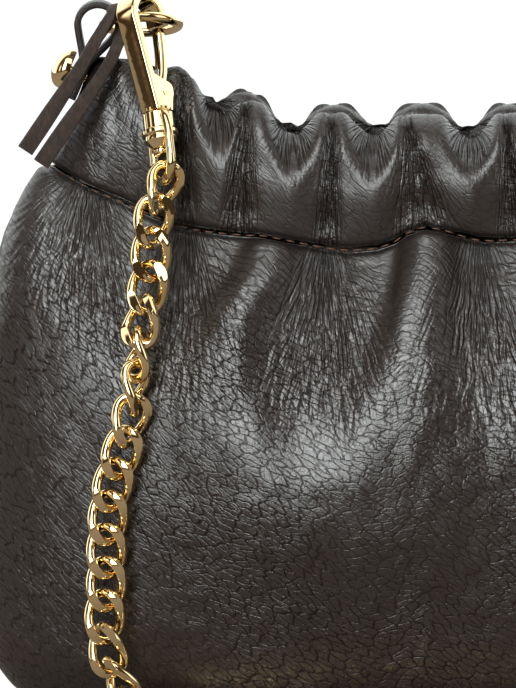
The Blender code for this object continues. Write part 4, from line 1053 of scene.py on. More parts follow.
def smooth_path(points, count):
    """Return a smooth curve through points, evenly spaced, with any further columns.

    It is read finely first. Its steps' lengths are then added up and read backwards."""
    points = np.asarray(points, float)
    fine = np.stack([smooth_share(points[:, n], np.linspace(0, 1, 40 * len(points)))
                     for n in range(points.shape[1])], axis=1)
    steps = np.linalg.norm(np.diff(fine[:, :3], axis=0), axis=1)
    length = np.concatenate([[0], np.cumsum(steps)])
    at = np.linspace(0, length[-1], count)
    return np.stack([np.interp(at, length, fine[:, n]) for n in range(fine.shape[1])], axis=1)


def axes_matrix(x_axis, y_axis, z_axis, origin):
    """Return a frame from its axes and its origin in millimetres."""
    matrix = Matrix.Identity(4)
    for n, axis in enumerate((x_axis, y_axis, z_axis)):
        matrix.col[n][:3] = axis
    matrix.col[3][:3] = np.asarray(origin) * MM
    return matrix


print("a round section of", len(round_section(1.0)), "points, a box section of",
      len(box_section(2.0, 1.0, 0.2)))

# %% [markdown]
# ## Side tab and stud
#
# At each end a strip of leather runs up the channel's end wall, round the ring and down over
# itself. A stud with a domed head goes through both layers and is riveted inside. Both ends
# are alike and mirrored, so a function takes the side, -1 or 1. The places come from the
# channel's end wall and from the joints in the record, because the ring has to swing freely.

# %% Side tab and stud
ENDS = ((-1, "left"), (1, "right"))
RUNNING_GAP = 0.3
TAB_WIDTH, TAB_LEATHER, TAB_LOOP, TAB_EDGE = 6.4, 1.6, 4.8, 0.55
TAB_INNER_ROWS = (2.7, 3.1, 3.5, 3.9, 4.3, 4.6)
TAB_OUTER_ROWS = (4.2, 3.8, 3.4, 3.0, 2.6)
TAB_LOOP_START, TAB_LOOP_END, TAB_LOOP_POINTS, TAB_STEPS = -35, 195, 11, 150
RING_RADIUS, RING_WIRE = 8.65, 2.5
STUD_RADIUS, STUD_RISE, STUD_RIM, STUD_POST, STUD_FOOT, STUD_ROW = 4.8, 4.0, 0.9, 1.3, 1.7, 3.55
STUD_BEVEL, STUD_SEAT, STUD_FOOT_THICK = 0.25, 2.2, 0.7
joint_row = {row["name"]: row for row in frame["joints"]}


def wall_point(row, offset, side):
    """Return a point out of the channel's end wall, and the way out there, at the side seam.

    The way out is the wall's tangent in X and Z, turned by a right angle."""
    rows = np.array((row - 0.01, row, row + 0.01)) / (len(CHANNEL_HEIGHTS) - 1)
    x = BAG_WIDTH / 2 * smooth_share(CHANNEL_WIDTHS, rows)
    z = seam_line(x) + (rim_level(x) - seam_line(x)) * smooth_share(CHANNEL_HEIGHTS, rows)
    along = unit(np.array((x[2] - x[0], z[2] - z[0])))
    out = np.array((side * along[1], 0.0, -along[0]))
    return np.array((side * x[1], 0.0, z[1])) + offset * out, out


def make_tab(side, end):
    """Tab: up the end wall, round the ring and down again over itself."""
    inner = RUNNING_GAP + TAB_LEATHER / 2
    outer = inner + RUNNING_GAP + TAB_LEATHER
    pivot = np.array(joint_row["ring_swing_" + end]["pos_m"]) / MM
    bow = RING_RADIUS - math.sqrt(RING_RADIUS**2 - TAB_WIDTH**2 / 4)
    slack = TAB_LOOP - RING_WIRE / 2 - bow - 2 * RUNNING_GAP - TAB_LEATHER / 2
    middle = pivot + np.array((side * slack, 0.0, 0.0))
    path = [wall_point(row, inner, side)[0] for row in TAB_INNER_ROWS]
    for turn in np.radians(np.linspace(TAB_LOOP_START, TAB_LOOP_END, TAB_LOOP_POINTS)):
        path.append(middle + TAB_LOOP * np.array((-side * math.cos(turn), 0.0, math.sin(turn))))
    path += [wall_point(row, outer, side)[0] for row in TAB_OUTER_ROWS]
    piece = sweep("tab_leather_" + end, smooth_path(path, TAB_STEPS) * MM,
                  box_section(TAB_WIDTH, TAB_LEATHER, TAB_EDGE) * MM, (0.0, 1.0, 0.0))
    finish_piece(piece, TAB, "bag", "leather", "tab_" + end)


def make_stud(side, end):
    """Domed stud on the tab, with its post and its riveted foot.

    The dome is a quarter of an ellipse, as wide as the stud and as high as its rise."""
    place, out = wall_point(STUD_ROW, 0.0, side)
    across = np.array((0.0, 1.0, 0.0))
    base = 4 * RUNNING_GAP + 2 * TAB_LEATHER
    foot = -CHANNEL_LEATHER - STUD_SEAT
    turns = np.radians(np.linspace(0, 90, 15))
    profile = [(STUD_RADIUS * math.sin(t), base + STUD_RIM + (STUD_RISE - STUD_RIM) * math.cos(t))
               for t in turns]
    profile += [(STUD_RADIUS, base + STUD_BEVEL), (STUD_RADIUS - STUD_BEVEL, base),
                (STUD_POST, base), (STUD_POST, foot), (STUD_FOOT, foot),
                (STUD_FOOT, foot - STUD_FOOT_THICK), (0.0, foot - STUD_FOOT_THICK)]
    piece = lathe("stud_dome_" + end, np.array(profile) * MM)
    place_in(piece, axes_matrix(across, np.cross(out, across), out, place))
    finish_piece(piece, GOLD, "bag", "gold", "stud_" + end)


print("left stud at", (wall_point(STUD_ROW, 0.0, -1)[0]).round(2), "mm")

# %% [markdown]
# ## Ring and thong
#
# A ring of round wire hangs in the tab's loop. A flat lace is folded once over it and held by
# nothing but its stiffness, with its two cut ends hanging apart. A cloth run could hang it, but
# the ends have to lie as in the photograph. So it is swept through places read from there, each
# given as shares of the ring's radius, and its width flares from the fold to the ends. The tab,
# the stud, the ring and the thong of each end are made together here.

# %% Ring and thong
RING_STEPS, RING_SIDES = 120, 28
THONG_WIDTH, THONG_END, THONG_THICK, THONG_EDGE, THONG_TURN = 2.8, 3.9, 1.7, 0.28, 53.5
THONG_OUTER = ((-1.22, 0.98, -0.35), (-1.62, 1.16, -1.03), (-2.38, 1.32, -2.18),
               (-3.13, 1.42, -3.29))
THONG_INNER = ((-0.76, 0.80, -0.78), (-1.16, 1.22, -1.42), (-1.93, 1.46, -2.52),
               (-2.70, 1.52, -3.64))
THONG_WIDE = (0.83, 0.05, -0.55)
THONG_STEPS, FLARE_START, FLARE_END = 130, 0.35, 0.85


def ring_axes(side, end):
    """Return the ring's centre, its inboard way and its forward way.

    The centre lies a radius inboard of the joint on which the ring swings."""
    row = joint_row["ring_swing_" + end]
    forward = np.array(row["axis"], float)
    forward = forward if forward[1] < 0 else -forward
    inboard = np.array((-side, 0.0, 0.0))
    return np.array(row["pos_m"]) / MM + RING_RADIUS * inboard, inboard, forward


def make_ring(side, end):
    """Ring of round wire."""
    centre, inboard, ahead = ring_axes(side, end)
    turn = 2 * math.pi * np.arange(RING_STEPS)[:, None] / RING_STEPS
    path = centre + RING_RADIUS * (np.cos(turn) * inboard + np.sin(turn) * ahead)
    piece = sweep("ring_wire_" + end, path * MM, round_section(RING_WIRE / 2 * MM, RING_SIDES),
                  np.cross(inboard, ahead), closed=True)
    finish_piece(piece, GOLD, "ring_" + end, "gold", "ring_" + end)


def make_thong(side, end):
    """Split lace folded over the ring, with two hanging ends."""
    centre, inboard, ahead = ring_axes(side, end)
    turn = math.radians(THONG_TURN)
    out = -math.cos(turn) * inboard + math.sin(turn) * ahead
    along = math.sin(turn) * inboard + math.cos(turn) * ahead
    up = np.cross(-out, along)
    up = up if up[2] > 0 else -up
    reach = RING_WIRE / 2 + 2 * RUNNING_GAP + THONG_THICK / 2
    fold = [centre + RING_RADIUS * out + reach * (math.sin(t) * up + math.cos(t) * out)
            for t in np.radians(np.linspace(0, 180, 7))]
    mirror = np.array((-side, -1.0, 1.0))
    outer, inner = ([centre + RING_RADIUS * np.array(shares) * mirror for shares in leg]
                    for leg in (THONG_OUTER, THONG_INNER))
    legs = np.array(THONG_WIDE) * np.array((-side, 1.0, 1.0))
    across = along if along @ legs > 0 else -along
    wide = [legs] * len(outer) + [across] * len(fold) + [legs] * len(inner)
    both = smooth_path(np.hstack([outer[::-1] + fold + inner, wide]), THONG_STEPS)
    from_fold = np.abs(np.linspace(-1, 1, len(both)))
    flare = smooth_step(FLARE_START, FLARE_END, from_fold)
    widths = THONG_WIDTH + (THONG_END - THONG_WIDTH) * flare
    sections = np.array([box_section(width, THONG_THICK, THONG_EDGE) for width in widths])
    piece = sweep("thong_lace_" + end, both[:, :3] * MM, sections * MM, both[:, 3:])
    finish_piece(piece, LACE, "ring_" + end, "cut_leather", "thong_" + end)


for side, end in ENDS:
    make_tab(side, end)
    make_stud(side, end)
    make_ring(side, end)
    make_thong(side, end)
print("ring centre left:", ring_axes(-1, "left")[0].round(2))

# %% [markdown]
# ## Trigger clasp
#
# The hook is cast in one piece: an arched arm, two cheeks that hold the gate, and a shank that
# turns in the swivel. The gate pivots on a rivet, and a leaf spring pushes it shut. The clasp
# could be cut from a block by Booleans, but each part is a strap, a plate or a turned shape, so
# the helpers above make it cleanly. In its own frame, X runs from the arm to the gate and Z up
# its axis. The origin and the axes come from the joints of the swivel and the gate.

# %% Trigger clasp
CLASP_THICK, CLASP_ARM, CLASP_TOP = 5.0, 2.3, 30.0
CLASP_LEFT, CLASP_RIGHT, CLASP_FOOT, CLASP_EDGE = 8.7, 5.2, 1.9, 0.4
CHEEK, CHEEK_REACH, CHEEK_HEIGHT, CHEEK_CORNER, CHEEK_EDGE = 0.8, 4.1, 9.2, 1.1, 0.16
CHEEK_SHARES = ((-0.68, 0.09), (0.80, 0.09), (1.0, 0.28), (1.0, 0.76), (0.80, 0.86),
                (-0.95, 1.0))
BARREL_LENGTH = 8.6
SHANK_RADIUS, KNOB_RADIUS, KNOB_LENGTH, KNOB_DOME = 1.3, 2.1, 1.4, 0.7
FOOT_RADIUS, FOOT_THICK = 3.3, 1.1
ARCH_RADIUS = (CLASP_LEFT + CLASP_RIGHT - CLASP_ARM) / 2
ARCH_X = (CLASP_RIGHT - CLASP_LEFT) / 2
ARCH_Z = CLASP_TOP - CLASP_ARM / 2 - ARCH_RADIUS
ARCH_START, ARCH_END = 180, -4
ACROSS = (0.0, 1.0, 0.0)


def clasp_matrix(end):
    """Return the clasp's frame."""
    z_axis = np.array(joint_row["swivel_turn_" + end]["axis"], float)
    y_axis = -np.array(joint_row["gate_open_" + end]["axis"], float)
    origin = np.array(joint_row["swivel_turn_" + end]["pos_m"]) / MM
    return axes_matrix(np.cross(y_axis, z_axis), y_axis, z_axis, origin)


def rounded(outline, radius, steps=5):
    """Return an outline with its corners rounded, each by a curve drawn to its corner."""
    outline = np.asarray(outline, float)
    made = []
    for before, corner, after in zip(np.roll(outline, 1, axis=0), outline,
                                     np.roll(outline, -1, axis=0)):
        ways = [(other - corner) for other in (before, after)]
        first, last = (corner + way * min(radius / np.linalg.norm(way), 0.45) for way in ways)
        for t in np.linspace(0, 1, steps):
            made.append((1 - t) ** 2 * first + 2 * t * (1 - t) * corner + t**2 * last)
    return np.array(made)


def plate(name, outline, low, high, edge):
    """Make a plate with an outline in X and Z, between two places along Y.

    Its first and last rows are drawn in towards the middle, which bevels the edges."""
    middle = outline.mean(axis=0)
    rows = []
    for inset, y in ((edge, low), (0.0, low + edge), (0.0, high - edge), (edge, high)):
        way = unit(outline - middle)
        ring = outline - inset * way
        rows.append(np.stack([ring[:, 0], np.full(len(ring), y), ring[:, 1]], axis=1))
    return outward(grid_object(name, np.array(rows) * MM, close_rows=True, caps=True), 40)


def clasp_arm(end):
    """Return the arm: a straight leg, then an arch over the ring."""
    arch = np.radians(np.linspace(ARCH_START, ARCH_END, 13))
    leg = np.linspace((-CLASP_FOOT, FOOT_THICK / 2), (ARCH_X - ARCH_RADIUS, ARCH_Z), 6)[:-1]
    path = [(x, 0.0, z) for x, z in leg]
    path += [(ARCH_X + ARCH_RADIUS * math.cos(t), 0.0, ARCH_Z + ARCH_RADIUS * math.sin(t))
             for t in arch]
    return sweep("clasp_arm_" + end, smooth_path(path, 110) * MM,
                 box_section(CLASP_THICK, CLASP_ARM, CLASP_EDGE) * MM, ACROSS)


def clasp_shank(end):
    """Return the foot under the cheeks, the shank and the knob that keeps the swivel on."""
    knob = -BARREL_LENGTH - RUNNING_GAP
    profile = [(0.0, FOOT_THICK + RUNNING_GAP), (FOOT_RADIUS - 0.3, FOOT_THICK + RUNNING_GAP),
               (FOOT_RADIUS, FOOT_THICK), (FOOT_RADIUS, RUNNING_GAP + 0.2),
               (FOOT_RADIUS - 0.2, RUNNING_GAP), (SHANK_RADIUS, RUNNING_GAP),
               (SHANK_RADIUS, knob), (KNOB_RADIUS - 0.15, knob), (KNOB_RADIUS, knob - 0.2)]
    profile += [(KNOB_RADIUS * math.cos(t), knob - KNOB_LENGTH / 2 - KNOB_DOME * math.sin(t))
                for t in np.radians(np.linspace(0, 90, 8))]
    return lathe("shank_" + end, np.array(profile) * MM, 48)


def make_hook(end):
    """Clasp body: arm, cheeks and shank in one."""
    pieces = [clasp_arm(end)]
    outline = rounded([(x * CHEEK_REACH, z * CHEEK_HEIGHT) for x, z in CHEEK_SHARES],
                      CHEEK_CORNER)
    face = CLASP_THICK / 2 - CLASP_EDGE / 4
    for number, place in enumerate((-face, face - CHEEK)):
        pieces.append(plate(f"cheek_{number}_{end}", outline, place, place + CHEEK, CHEEK_EDGE))
    pieces.append(clasp_shank(end))
    clasp = place_in(join("clasp_hook_" + end, pieces), clasp_matrix(end))
    finish_piece(clasp, GOLD, "clasp_" + end, "gold", "clasp_body_" + end)


print("clasp origin left:", [round(v / MM, 2) for v in clasp_matrix("left").col[3][:3]])

# %% [markdown]
# ## Gate, rivet and spring
#
# The gate is a bent bar that closes the hook and turns on the rivet by an eye at its foot.
# Behind it a leaf of steel springs it shut. All three could be one mesh, but the gate has its
# own joint and the spring its own metal. The paths are given as shares of the clasp's width and
# height. The rivet's two low domes are turned in one go with its pin.

# %% Gate, rivet and spring
RIVET_X, RIVET_Z, RIVET_RADIUS, RIVET_DOME = 0.6, 4.9, 1.0, 0.25
GATE_BAR, GATE_BAR_EDGE, GATE_EYE, EYE_BEVEL = 2.4, 0.8, 1.9, 0.2
SPRING, SPRING_EDGE = 0.4, 0.1
GATE_PATH = ((0.13, 0.163), (0.45, 0.27), (0.66, 0.40), (0.75, 0.55), (0.745, 0.735))
SPRING_PATH = ((-0.42, 0.247), (-0.19, 0.263), (0.06, 0.307), (0.20, 0.373))
GATE_THICK = CLASP_THICK - 2 * (CHEEK + CLASP_EDGE / 4 + RUNNING_GAP)


def clasp_curve(shares, count):
    """Return a smooth path from shares of the clasp's width and height."""
    return smooth_path([(x * CLASP_RIGHT, 0.0, z * CLASP_TOP) for x, z in shares], count) * MM


def rivet_frame():
    """Return the rivet's frame within the clasp's: its axis lies across the clasp."""
    pivot = Matrix.Translation((RIVET_X * MM, 0.0, RIVET_Z * MM))
    return pivot @ Matrix.Rotation(math.radians(-90), 4, "X")


def make_gate(end):
    """Gate: the bar and its eye."""
    bar = sweep("gate_bar_" + end, clasp_curve(GATE_PATH, 60),
                box_section(GATE_THICK, GATE_BAR, GATE_BAR_EDGE) * MM, ACROSS)
    half = GATE_THICK / 2 - CLASP_EDGE / 4
    eye = lathe("gate_eye_" + end, np.array([
        (0.0, half), (GATE_EYE - EYE_BEVEL, half), (GATE_EYE, half - EYE_BEVEL),
        (GATE_EYE, EYE_BEVEL - half), (GATE_EYE - EYE_BEVEL, -half), (0.0, -half)]) * MM, 40)
    place_in(eye, rivet_frame())
    gate = place_in(join("gate_bar_" + end, [bar, eye]), clasp_matrix(end))
    finish_piece(gate, GOLD, "gate_" + end, "gold", "gate_" + end)


def make_rivet(end):
    """Rivet: a pin with two low domed heads."""
    top = CLASP_THICK / 2
    head = [(RIVET_RADIUS * math.sin(t), top - RIVET_DOME + RIVET_DOME * math.cos(t))
            for t in np.radians(np.linspace(0, 90, 7))]
    profile = head + [(r, -z) for r, z in reversed(head)]
    rivet = lathe("rivet_pin_" + end, np.array(profile) * MM, 40)
    place_in(rivet, clasp_matrix(end) @ rivet_frame())
    finish_piece(rivet, GOLD, "clasp_" + end, "gold", "gate_rivet_" + end)


def make_spring(end):
    """Leaf spring between the cheeks."""
    leaf = sweep("spring_leaf_" + end, clasp_curve(SPRING_PATH, 24),
                 box_section(GATE_THICK - 2 * RUNNING_GAP, SPRING, SPRING_EDGE) * MM, ACROSS)
    finish_piece(place_in(leaf, clasp_matrix(end)), STEEL, "clasp_" + end, "steel",
                 "gate_spring_" + end)


print("gate between the cheeks:", round(GATE_THICK, 2), "mm wide")

# %% [markdown]
# ## Swivel
#
# The barrel turns on the clasp's shank, so that the chain doesn't twist the bag. It could be
# stacked from cylinders, but then its steps would need cutting and joining. As one profile that
# goes round the axis, it has a plain top, a flange, a stepped lower part and a neck in one go.
# Its bail is a wire bent to a long loop, whose bow holds the chain's first link. With it the
# whole clasp is made, at both ends.

# %% Swivel
BARREL_RADIUS, FLANGE_RADIUS, NECK_RADIUS = 3.7, 4.3, 2.2
BAIL_WIRE, BAIL_REACH, BAIL_HALF, BAIL_TURN = 2.3, 16.3, 4.6, -119.0


def make_swivel(side, end):
    """Swivel: a stepped barrel on the shank with the bail that holds the chain."""
    matrix = clasp_matrix(end) @ Matrix.Rotation(math.radians(-side * BAIL_TURN), 4, "Z")
    bore = SHANK_RADIUS + RUNNING_GAP
    half = BARREL_LENGTH / 2
    profile = [(bore, 0.0), (BARREL_RADIUS - 0.25, 0.0), (BARREL_RADIUS, -0.25),
               (BARREL_RADIUS, -half * 0.92), (FLANGE_RADIUS - 0.15, -half),
               (FLANGE_RADIUS, -half * 1.05), (FLANGE_RADIUS, -half * 1.22),
               (FLANGE_RADIUS - 0.2, -half * 1.27), (BARREL_RADIUS, -half * 1.33),
               (BARREL_RADIUS + 0.12, -half * 1.42), (BARREL_RADIUS + 0.12, -half * 1.58),
               (BARREL_RADIUS - 0.2, -half * 1.66), (NECK_RADIUS, -BARREL_LENGTH + 0.25),
               (NECK_RADIUS - 0.1, -BARREL_LENGTH), (bore, -BARREL_LENGTH), (bore, 0.0)]
    barrel = lathe("barrel_" + end, np.array(profile) * MM, 72)
    foot = BAIL_REACH - BAIL_HALF
    legs = [(BARREL_RADIUS - 0.4, -BAIL_WIRE / 2), (BARREL_RADIUS + 0.15, -foot * 0.2),
            (BAIL_HALF, -foot / 2), (BAIL_HALF, -foot * 0.8)]
    bow = [(BAIL_HALF * math.cos(t), -foot - BAIL_HALF * math.sin(t))
           for t in np.radians(np.linspace(0, 180, 13))]
    places = legs + bow + [(-x, z) for x, z in reversed(legs)]
    wire = sweep("bail_" + end, smooth_path([(x, 0.0, z) for x, z in places], 110) * MM,
                 round_section(BAIL_WIRE / 2 * MM, 24), ACROSS)
    swivel = place_in(join("swivel_" + end, [barrel, wire]), matrix)
    finish_piece(swivel, GOLD, "swivel_" + end, "gold", "swivel_bail_" + end)


for side, end in ENDS:
    make_hook(end)
    make_gate(end)
    make_rivet(end)
    make_spring(end)
    make_swivel(side, end)
print("bail's bow:", BAIL_REACH, "mm under the clasp's origin")

# %% [markdown]
# ## Where the strap hangs
#
# Half of the strap falls from its swivel in front of the bag, lands on the table in an arc and
# runs towards the middle. The chain could be dropped by a physics run, but each link has its
# own joint in the CAD model, so its place is worked out the same way here. The strap keeps a
# clearance from the bag's smooth front. It bridges the hollows, as a hanging chain does.

# %% Where the strap hangs
LINK_PITCH, LINK_WIRE, LINK_PLAY = 7.8, 2.4, 1.2
LINK_HALF_WIDTH, LINK_TWIST, LINK_FLAT = 3.7, 1.5, 2.0
CHAIN_CLEARANCE, LANDING_RADIUS, LANDING_HEADING = 1.1, 24.0, 20.0
RUN_FRONT, RUN_TURN_RADIUS = 56.0, 70.0
TABLE_GAP, STRAP_OPEN_GAP, LANDING_SHARE = 0.3, 0.6, 0.77
HANG_ACROSS = (0.683, 0.699, 0.700, 0.713, 0.722, 0.730, 0.748, 0.768, 0.775, 0.776, 0.780)
# How far the links are turned about the strap, in degrees: at the top and at the foot
TOP_TURNS = {-1: (-44, -14, 0, 5, 35, 75, 115, 150, 178), 1: (-15, -5)}
FOOT_TURNS = {-1: (180, 205, 235, 264, 290), 1: (0, 22, 46, 70)}
RIM_SHARE = CHANNEL_HEIGHTS.index(1.0) / (len(CHANNEL_HEIGHTS) - 1)


def front_depth(x, heights):
    """Return how far forward the bag's smooth front stands at given places and heights.

    At a half width a and a half depth b, the plan's own equation gives the depth:
    b (1 - (x/a)^n)^(1/n)."""
    bands = ((BELLY_WIDTHS, BELLY_DEPTHS, np.linspace(0, 1, 60), False),
             (CHANNEL_WIDTHS, CHANNEL_DEPTHS, np.linspace(0, RIM_SHARE, 30), True))
    depths = []
    for place, height in zip(np.abs(x), heights):
        outline = []
        for widths, shares, at, over in bands:
            c = np.clip(place / (BAG_WIDTH / 2 * smooth_share(widths, at)), 0, 1)
            c = c ** (PLAN_EXPONENT / 2)
            depth = BAG_DEPTH / 2 * smooth_share(shares, at)
            depth = depth * np.sqrt(1 - c**2) ** (2 / PLAN_EXPONENT)
            low = seam_line(place)
            if over:
                level = low + (rim_level(place) - low) * smooth_share(CHANNEL_HEIGHTS, at)
            else:
                level = low * smooth_share(BELLY_HEIGHTS, at)
            outline.append(np.stack([level, depth]))
        level, depth = np.concatenate(outline, axis=1)
        depths.append(np.interp(height, level, depth))
    return np.array(depths)


def bail_foot(end):
    """Return the lowest point of the bail's bow."""
    return np.array(clasp_matrix(end) @ Vector((0.0, 0.0, -BAIL_REACH * MM))) / MM


def hanging_links(end):
    """Return how many links hang above the first that the table carries.

    That is the drop, with a share of the landing arc, divided by the pitch."""
    drop = bail_foot(end)[2] - LINK_FLAT - TABLE_GAP - LANDING_RADIUS
    return round((drop + LANDING_SHARE * math.pi / 2 * LANDING_RADIUS) / LINK_PITCH)


def link_turns(side, end):
    """Return how far each hanging link, and the first on the table, is turned.

    Between the turns at the top and those at the foot, the first of the latter repeats."""
    between = hanging_links(end) + 1 - len(TOP_TURNS[side]) - len(FOOT_TURNS[side])
    return (*TOP_TURNS[side], *([FOOT_TURNS[side][0]] * between), *FOOT_TURNS[side])


def taut(heights, depths):
    """Pull a line of depths tight, so that it bridges hollows as a hanging chain does.

    Of the points passed so far, those that lie behind a straight line are let go."""
    held = [0]
    for n in range(1, len(heights)):
        while len(held) > 1:
            a, b = held[-2], held[-1]
            slope = (depths[n] - depths[a]) / (heights[n] - heights[a])
            if depths[a] + slope * (heights[b] - heights[a]) < depths[b]:
                break
            held.pop()
        held.append(n)
    return np.interp(-heights, -heights[held], depths[held])


print("hanging links:", hanging_links("left"), "left,", hanging_links("right"), "right")

# %% [markdown]
# ## The strap's whole line
#
# The hanging part comes first, then a quarter circle down to the table, a straight run and a
# bow to the middle of the front. Along this line the links sit at even steps. While they hang,
# a list of turns says how far each one is turned about the line, because a slack curb chain
# twists as it hangs. On the table the links lie flat.

# %% The strap's whole line


def hanging_line(side, end):
    """Return the line from the bail down to where the landing starts."""
    bail = bail_foot(end)
    heights = np.linspace(bail[2], LINK_FLAT + TABLE_GAP + LANDING_RADIUS, 120)
    share = np.linspace(0, 1, len(heights))
    x = BAG_WIDTH / 2 * smooth_share(HANG_ACROSS, share)
    x += (abs(bail[0]) - x[0]) * (1 - share) ** 12
    turns = link_turns(side, end)
    turn = np.radians(np.interp((heights[0] - heights) / LINK_PITCH - 1 / 3, range(len(turns)),
                                turns))
    edge = LINK_HALF_WIDTH + LINK_WIRE / 2
    depths = (front_depth(x, heights) + CHAIN_CLEARANCE
              + np.hypot(LINK_FLAT * np.cos(turn), edge * np.sin(turn)))
    depths[0] = -bail[1]
    widest = int(np.argmax(depths))
    depths[widest:] = depths[widest]
    return np.stack([side * x, -taut(heights, depths), heights], axis=1)


def strap_path(side, end):
    """Return one half of the strap's line, from its swivel to the middle of the front."""
    hang = hanging_line(side, end)
    heading = math.radians(LANDING_HEADING)
    ahead = np.array([-side * math.cos(heading), -math.sin(heading), 0.0])
    turns = np.radians(np.linspace(0, 90, 31))[1:, None]
    arc = hang[-1] + LANDING_RADIUS * ((1 - np.cos(turns)) * ahead
                                       - np.sin(turns) * np.array([0.0, 0.0, 1.0]))
    bend = RUN_TURN_RADIUS * (1 - math.cos(heading))
    start = arc[-1] + (RUN_FRONT - bend + arc[-1, 1]) / math.sin(heading) * ahead
    turns = heading * (1 - np.linspace(0, 1, 12)[1:])
    bow = np.stack([
        start[0] - side * RUN_TURN_RADIUS * (math.sin(heading) - np.sin(turns)),
        start[1] - RUN_TURN_RADIUS * (np.cos(turns) - math.cos(heading)),
        np.full(len(turns), start[2])], axis=1)
    last = bow[-1].copy()
    last[0] = side * ((LINK_PITCH + LINK_WIRE + LINK_PLAY) / 2 + LINK_WIRE / 2
                      + STRAP_OPEN_GAP / 2)
    return np.concatenate([hang, arc, [start], bow, [last]])


def link_frames(side, end):
    """Return the frame of every link of one half of the strap, and the chain's pitch.

    The pitch is the line's length over a whole number of links. A link points from half a
    pitch before it to half a pitch after it."""
    path = strap_path(side, end)
    length = np.concatenate([[0], np.cumsum(np.linalg.norm(np.diff(path, axis=0), axis=1))])
    first = (LINK_PITCH - LINK_PLAY - BAIL_WIRE) / 2
    count = round((length[-1] - first) / LINK_PITCH)
    pitch = (length[-1] - first) / count
    at = first + pitch * np.arange(count + 1)
    centres, before, after = (
        np.stack([np.interp(at + shift, length, path[:, n]) for n in range(3)], axis=1)
        for shift in (0.0, -pitch / 2, pitch / 2))
    after[-1] = centres[-1] + (centres[-1] - before[-1])
    turns = link_turns(side, end)
    frames = []
    for number in range(count + 1):
        down = unit(after[number] - before[number])
        turn = math.radians(turns[min(number, len(turns) - 1)])
        flat = np.array((-math.sin(turn), -math.cos(turn), 0.0))
        if number > hanging_links(end):
            lying = abs(down[2]) < 0.01
            flat = np.array((0.0, 0.0, 1.0)) if lying else unit(down * np.array((1, 1, 0)))
        flat = unit(flat - (flat @ down) * down)
        frames.append(axes_matrix(np.cross(flat, -down), flat, -down, centres[number]))
    return frames, pitch


print("links on the left half:", len(link_frames(-1, "left")[0]))

# %% [markdown]
# ## Curb links
#
# A curb link is an oval ring of wire, twisted so that its neighbours can lie flat, and then
# ground on both faces until the chain shines. So the loop's wire runs round an ellipse and
# sways once each way, and two planes cut its faces flat. One link is made, and its copies are
# set into every place. Links that belong to one stretch of the strap share a mesh.

# %% Curb links
FLOOR_STRETCHES = RIGHT_STRETCHES = 4
LINK_STEPS, LINK_SIDES, LINK_CREASE = 72, 20, 32


def link_form(pitch):
    """Make one link as a twisted loop, ground flat on both faces: its points and faces.

    Round the loop, X is the half width times the cosine, Z the half length times the sine, and
    Y the twist times the sine of twice the turn."""
    turn = 2 * math.pi * np.arange(LINK_STEPS) / LINK_STEPS
    half = (pitch + LINK_WIRE + LINK_PLAY) / 2
    path = np.stack([LINK_HALF_WIDTH * np.cos(turn), -LINK_TWIST * np.sin(2 * turn),
                     half * np.sin(turn)], axis=1)
    loop = sweep("link_form", path * MM, round_section(LINK_WIRE / 2 * MM, LINK_SIDES), ACROSS,
                 closed=True)
    form = bmesh.new()
    form.from_mesh(loop.data)
    for way in (-1, 1):
        geometry = [*form.verts, *form.edges, *form.faces]
        cut = bmesh.ops.bisect_plane(form, geom=geometry, plane_co=(0, way * LINK_FLAT * MM, 0),
                                     plane_no=(0, way, 0), clear_outer=True)
        edges = [e for e in cut["geom_cut"] if isinstance(e, bmesh.types.BMEdge)]
        bmesh.ops.holes_fill(form, edges=edges, sides=0)
    bmesh.ops.recalc_face_normals(form, faces=form.faces)
    form.verts.index_update()
    points = np.array([v.co for v in form.verts])
    faces = [[v.index for v in f.verts] for f in form.faces]
    form.free()
    bpy.data.objects.remove(loop, do_unlink=True)
    return points, faces


def set_links(name, form, frames):
    """Set copies of the link into their frames, as one mesh."""
    points, faces = form
    placed, joined = [], []
    for number, matrix in enumerate(frames):
        turned = points @ np.array(matrix.to_3x3()).T + np.array(matrix.col[3][:3])
        placed.append(turned)
        joined += [[index + number * len(points) for index in face] for face in faces]
    mesh = bpy.data.meshes.new(name)
    mesh.from_pydata(np.concatenate(placed).tolist(), [], joined)
    mesh.update()
    mesh.shade_smooth()
    mesh.set_sharp_from_angle(angle=math.radians(LINK_CREASE))
    return link(name, mesh)


def stretches(first, last, count):
    """Split a run of links into nearly equal stretches."""
    marks = np.linspace(first, last, count + 1).round().astype(int)
    return list(zip(marks[:-1], marks[1:]))


def make_strap():
    """Dress both halves of the strap."""
    for side, end in ENDS:
        frames, pitch = link_frames(side, end)
        form = link_form(pitch)
        hanging = hanging_links(end)
        nodes = [(f"{end}_run_{n + 1}", span) for n, span in
                 enumerate(stretches(hanging, len(frames), FLOOR_STRETCHES))]
        if side < 0:
            nodes += [(f"link_{n + 1:02d}", (n, n + 1)) for n in range(hanging)]
        else:
            nodes += [(f"right_fall_{n + 1}", span) for n, span in
                      enumerate(stretches(0, hanging, RIGHT_STRETCHES))]
        for node, (start, stop) in nodes:
            piece = set_links("gold_" + node, form, frames[start:stop])
            finish_piece(piece, GOLD, node, "gold", node)
        print(end, "half:", len(frames), "links at", round(pitch, 4), "mm")


make_strap()

# %% [markdown]
# ## Seam stitches
#
# Short brown stitches lie in the groove between the channel and the belly. A row of them could
# be a dotted line in the leather's colour, but at this distance each one catches the light. So
# each is a small hump of thread: it rises out of the groove as a sine, raised to a low power,
# and thins out at both ends. All the stitches of one side make one mesh.

# %% Seam stitches
STITCH, STITCH_GAP, THREAD_RADIUS, THREAD_SINK, THREAD_RISE = 2.1, 1.15, 0.21, 0.10, 0.35
SEAM_MARGIN, SEAM_STEPS = 3.0, 1200
THREAD_SIDES, THREAD_RINGS = 8, 9


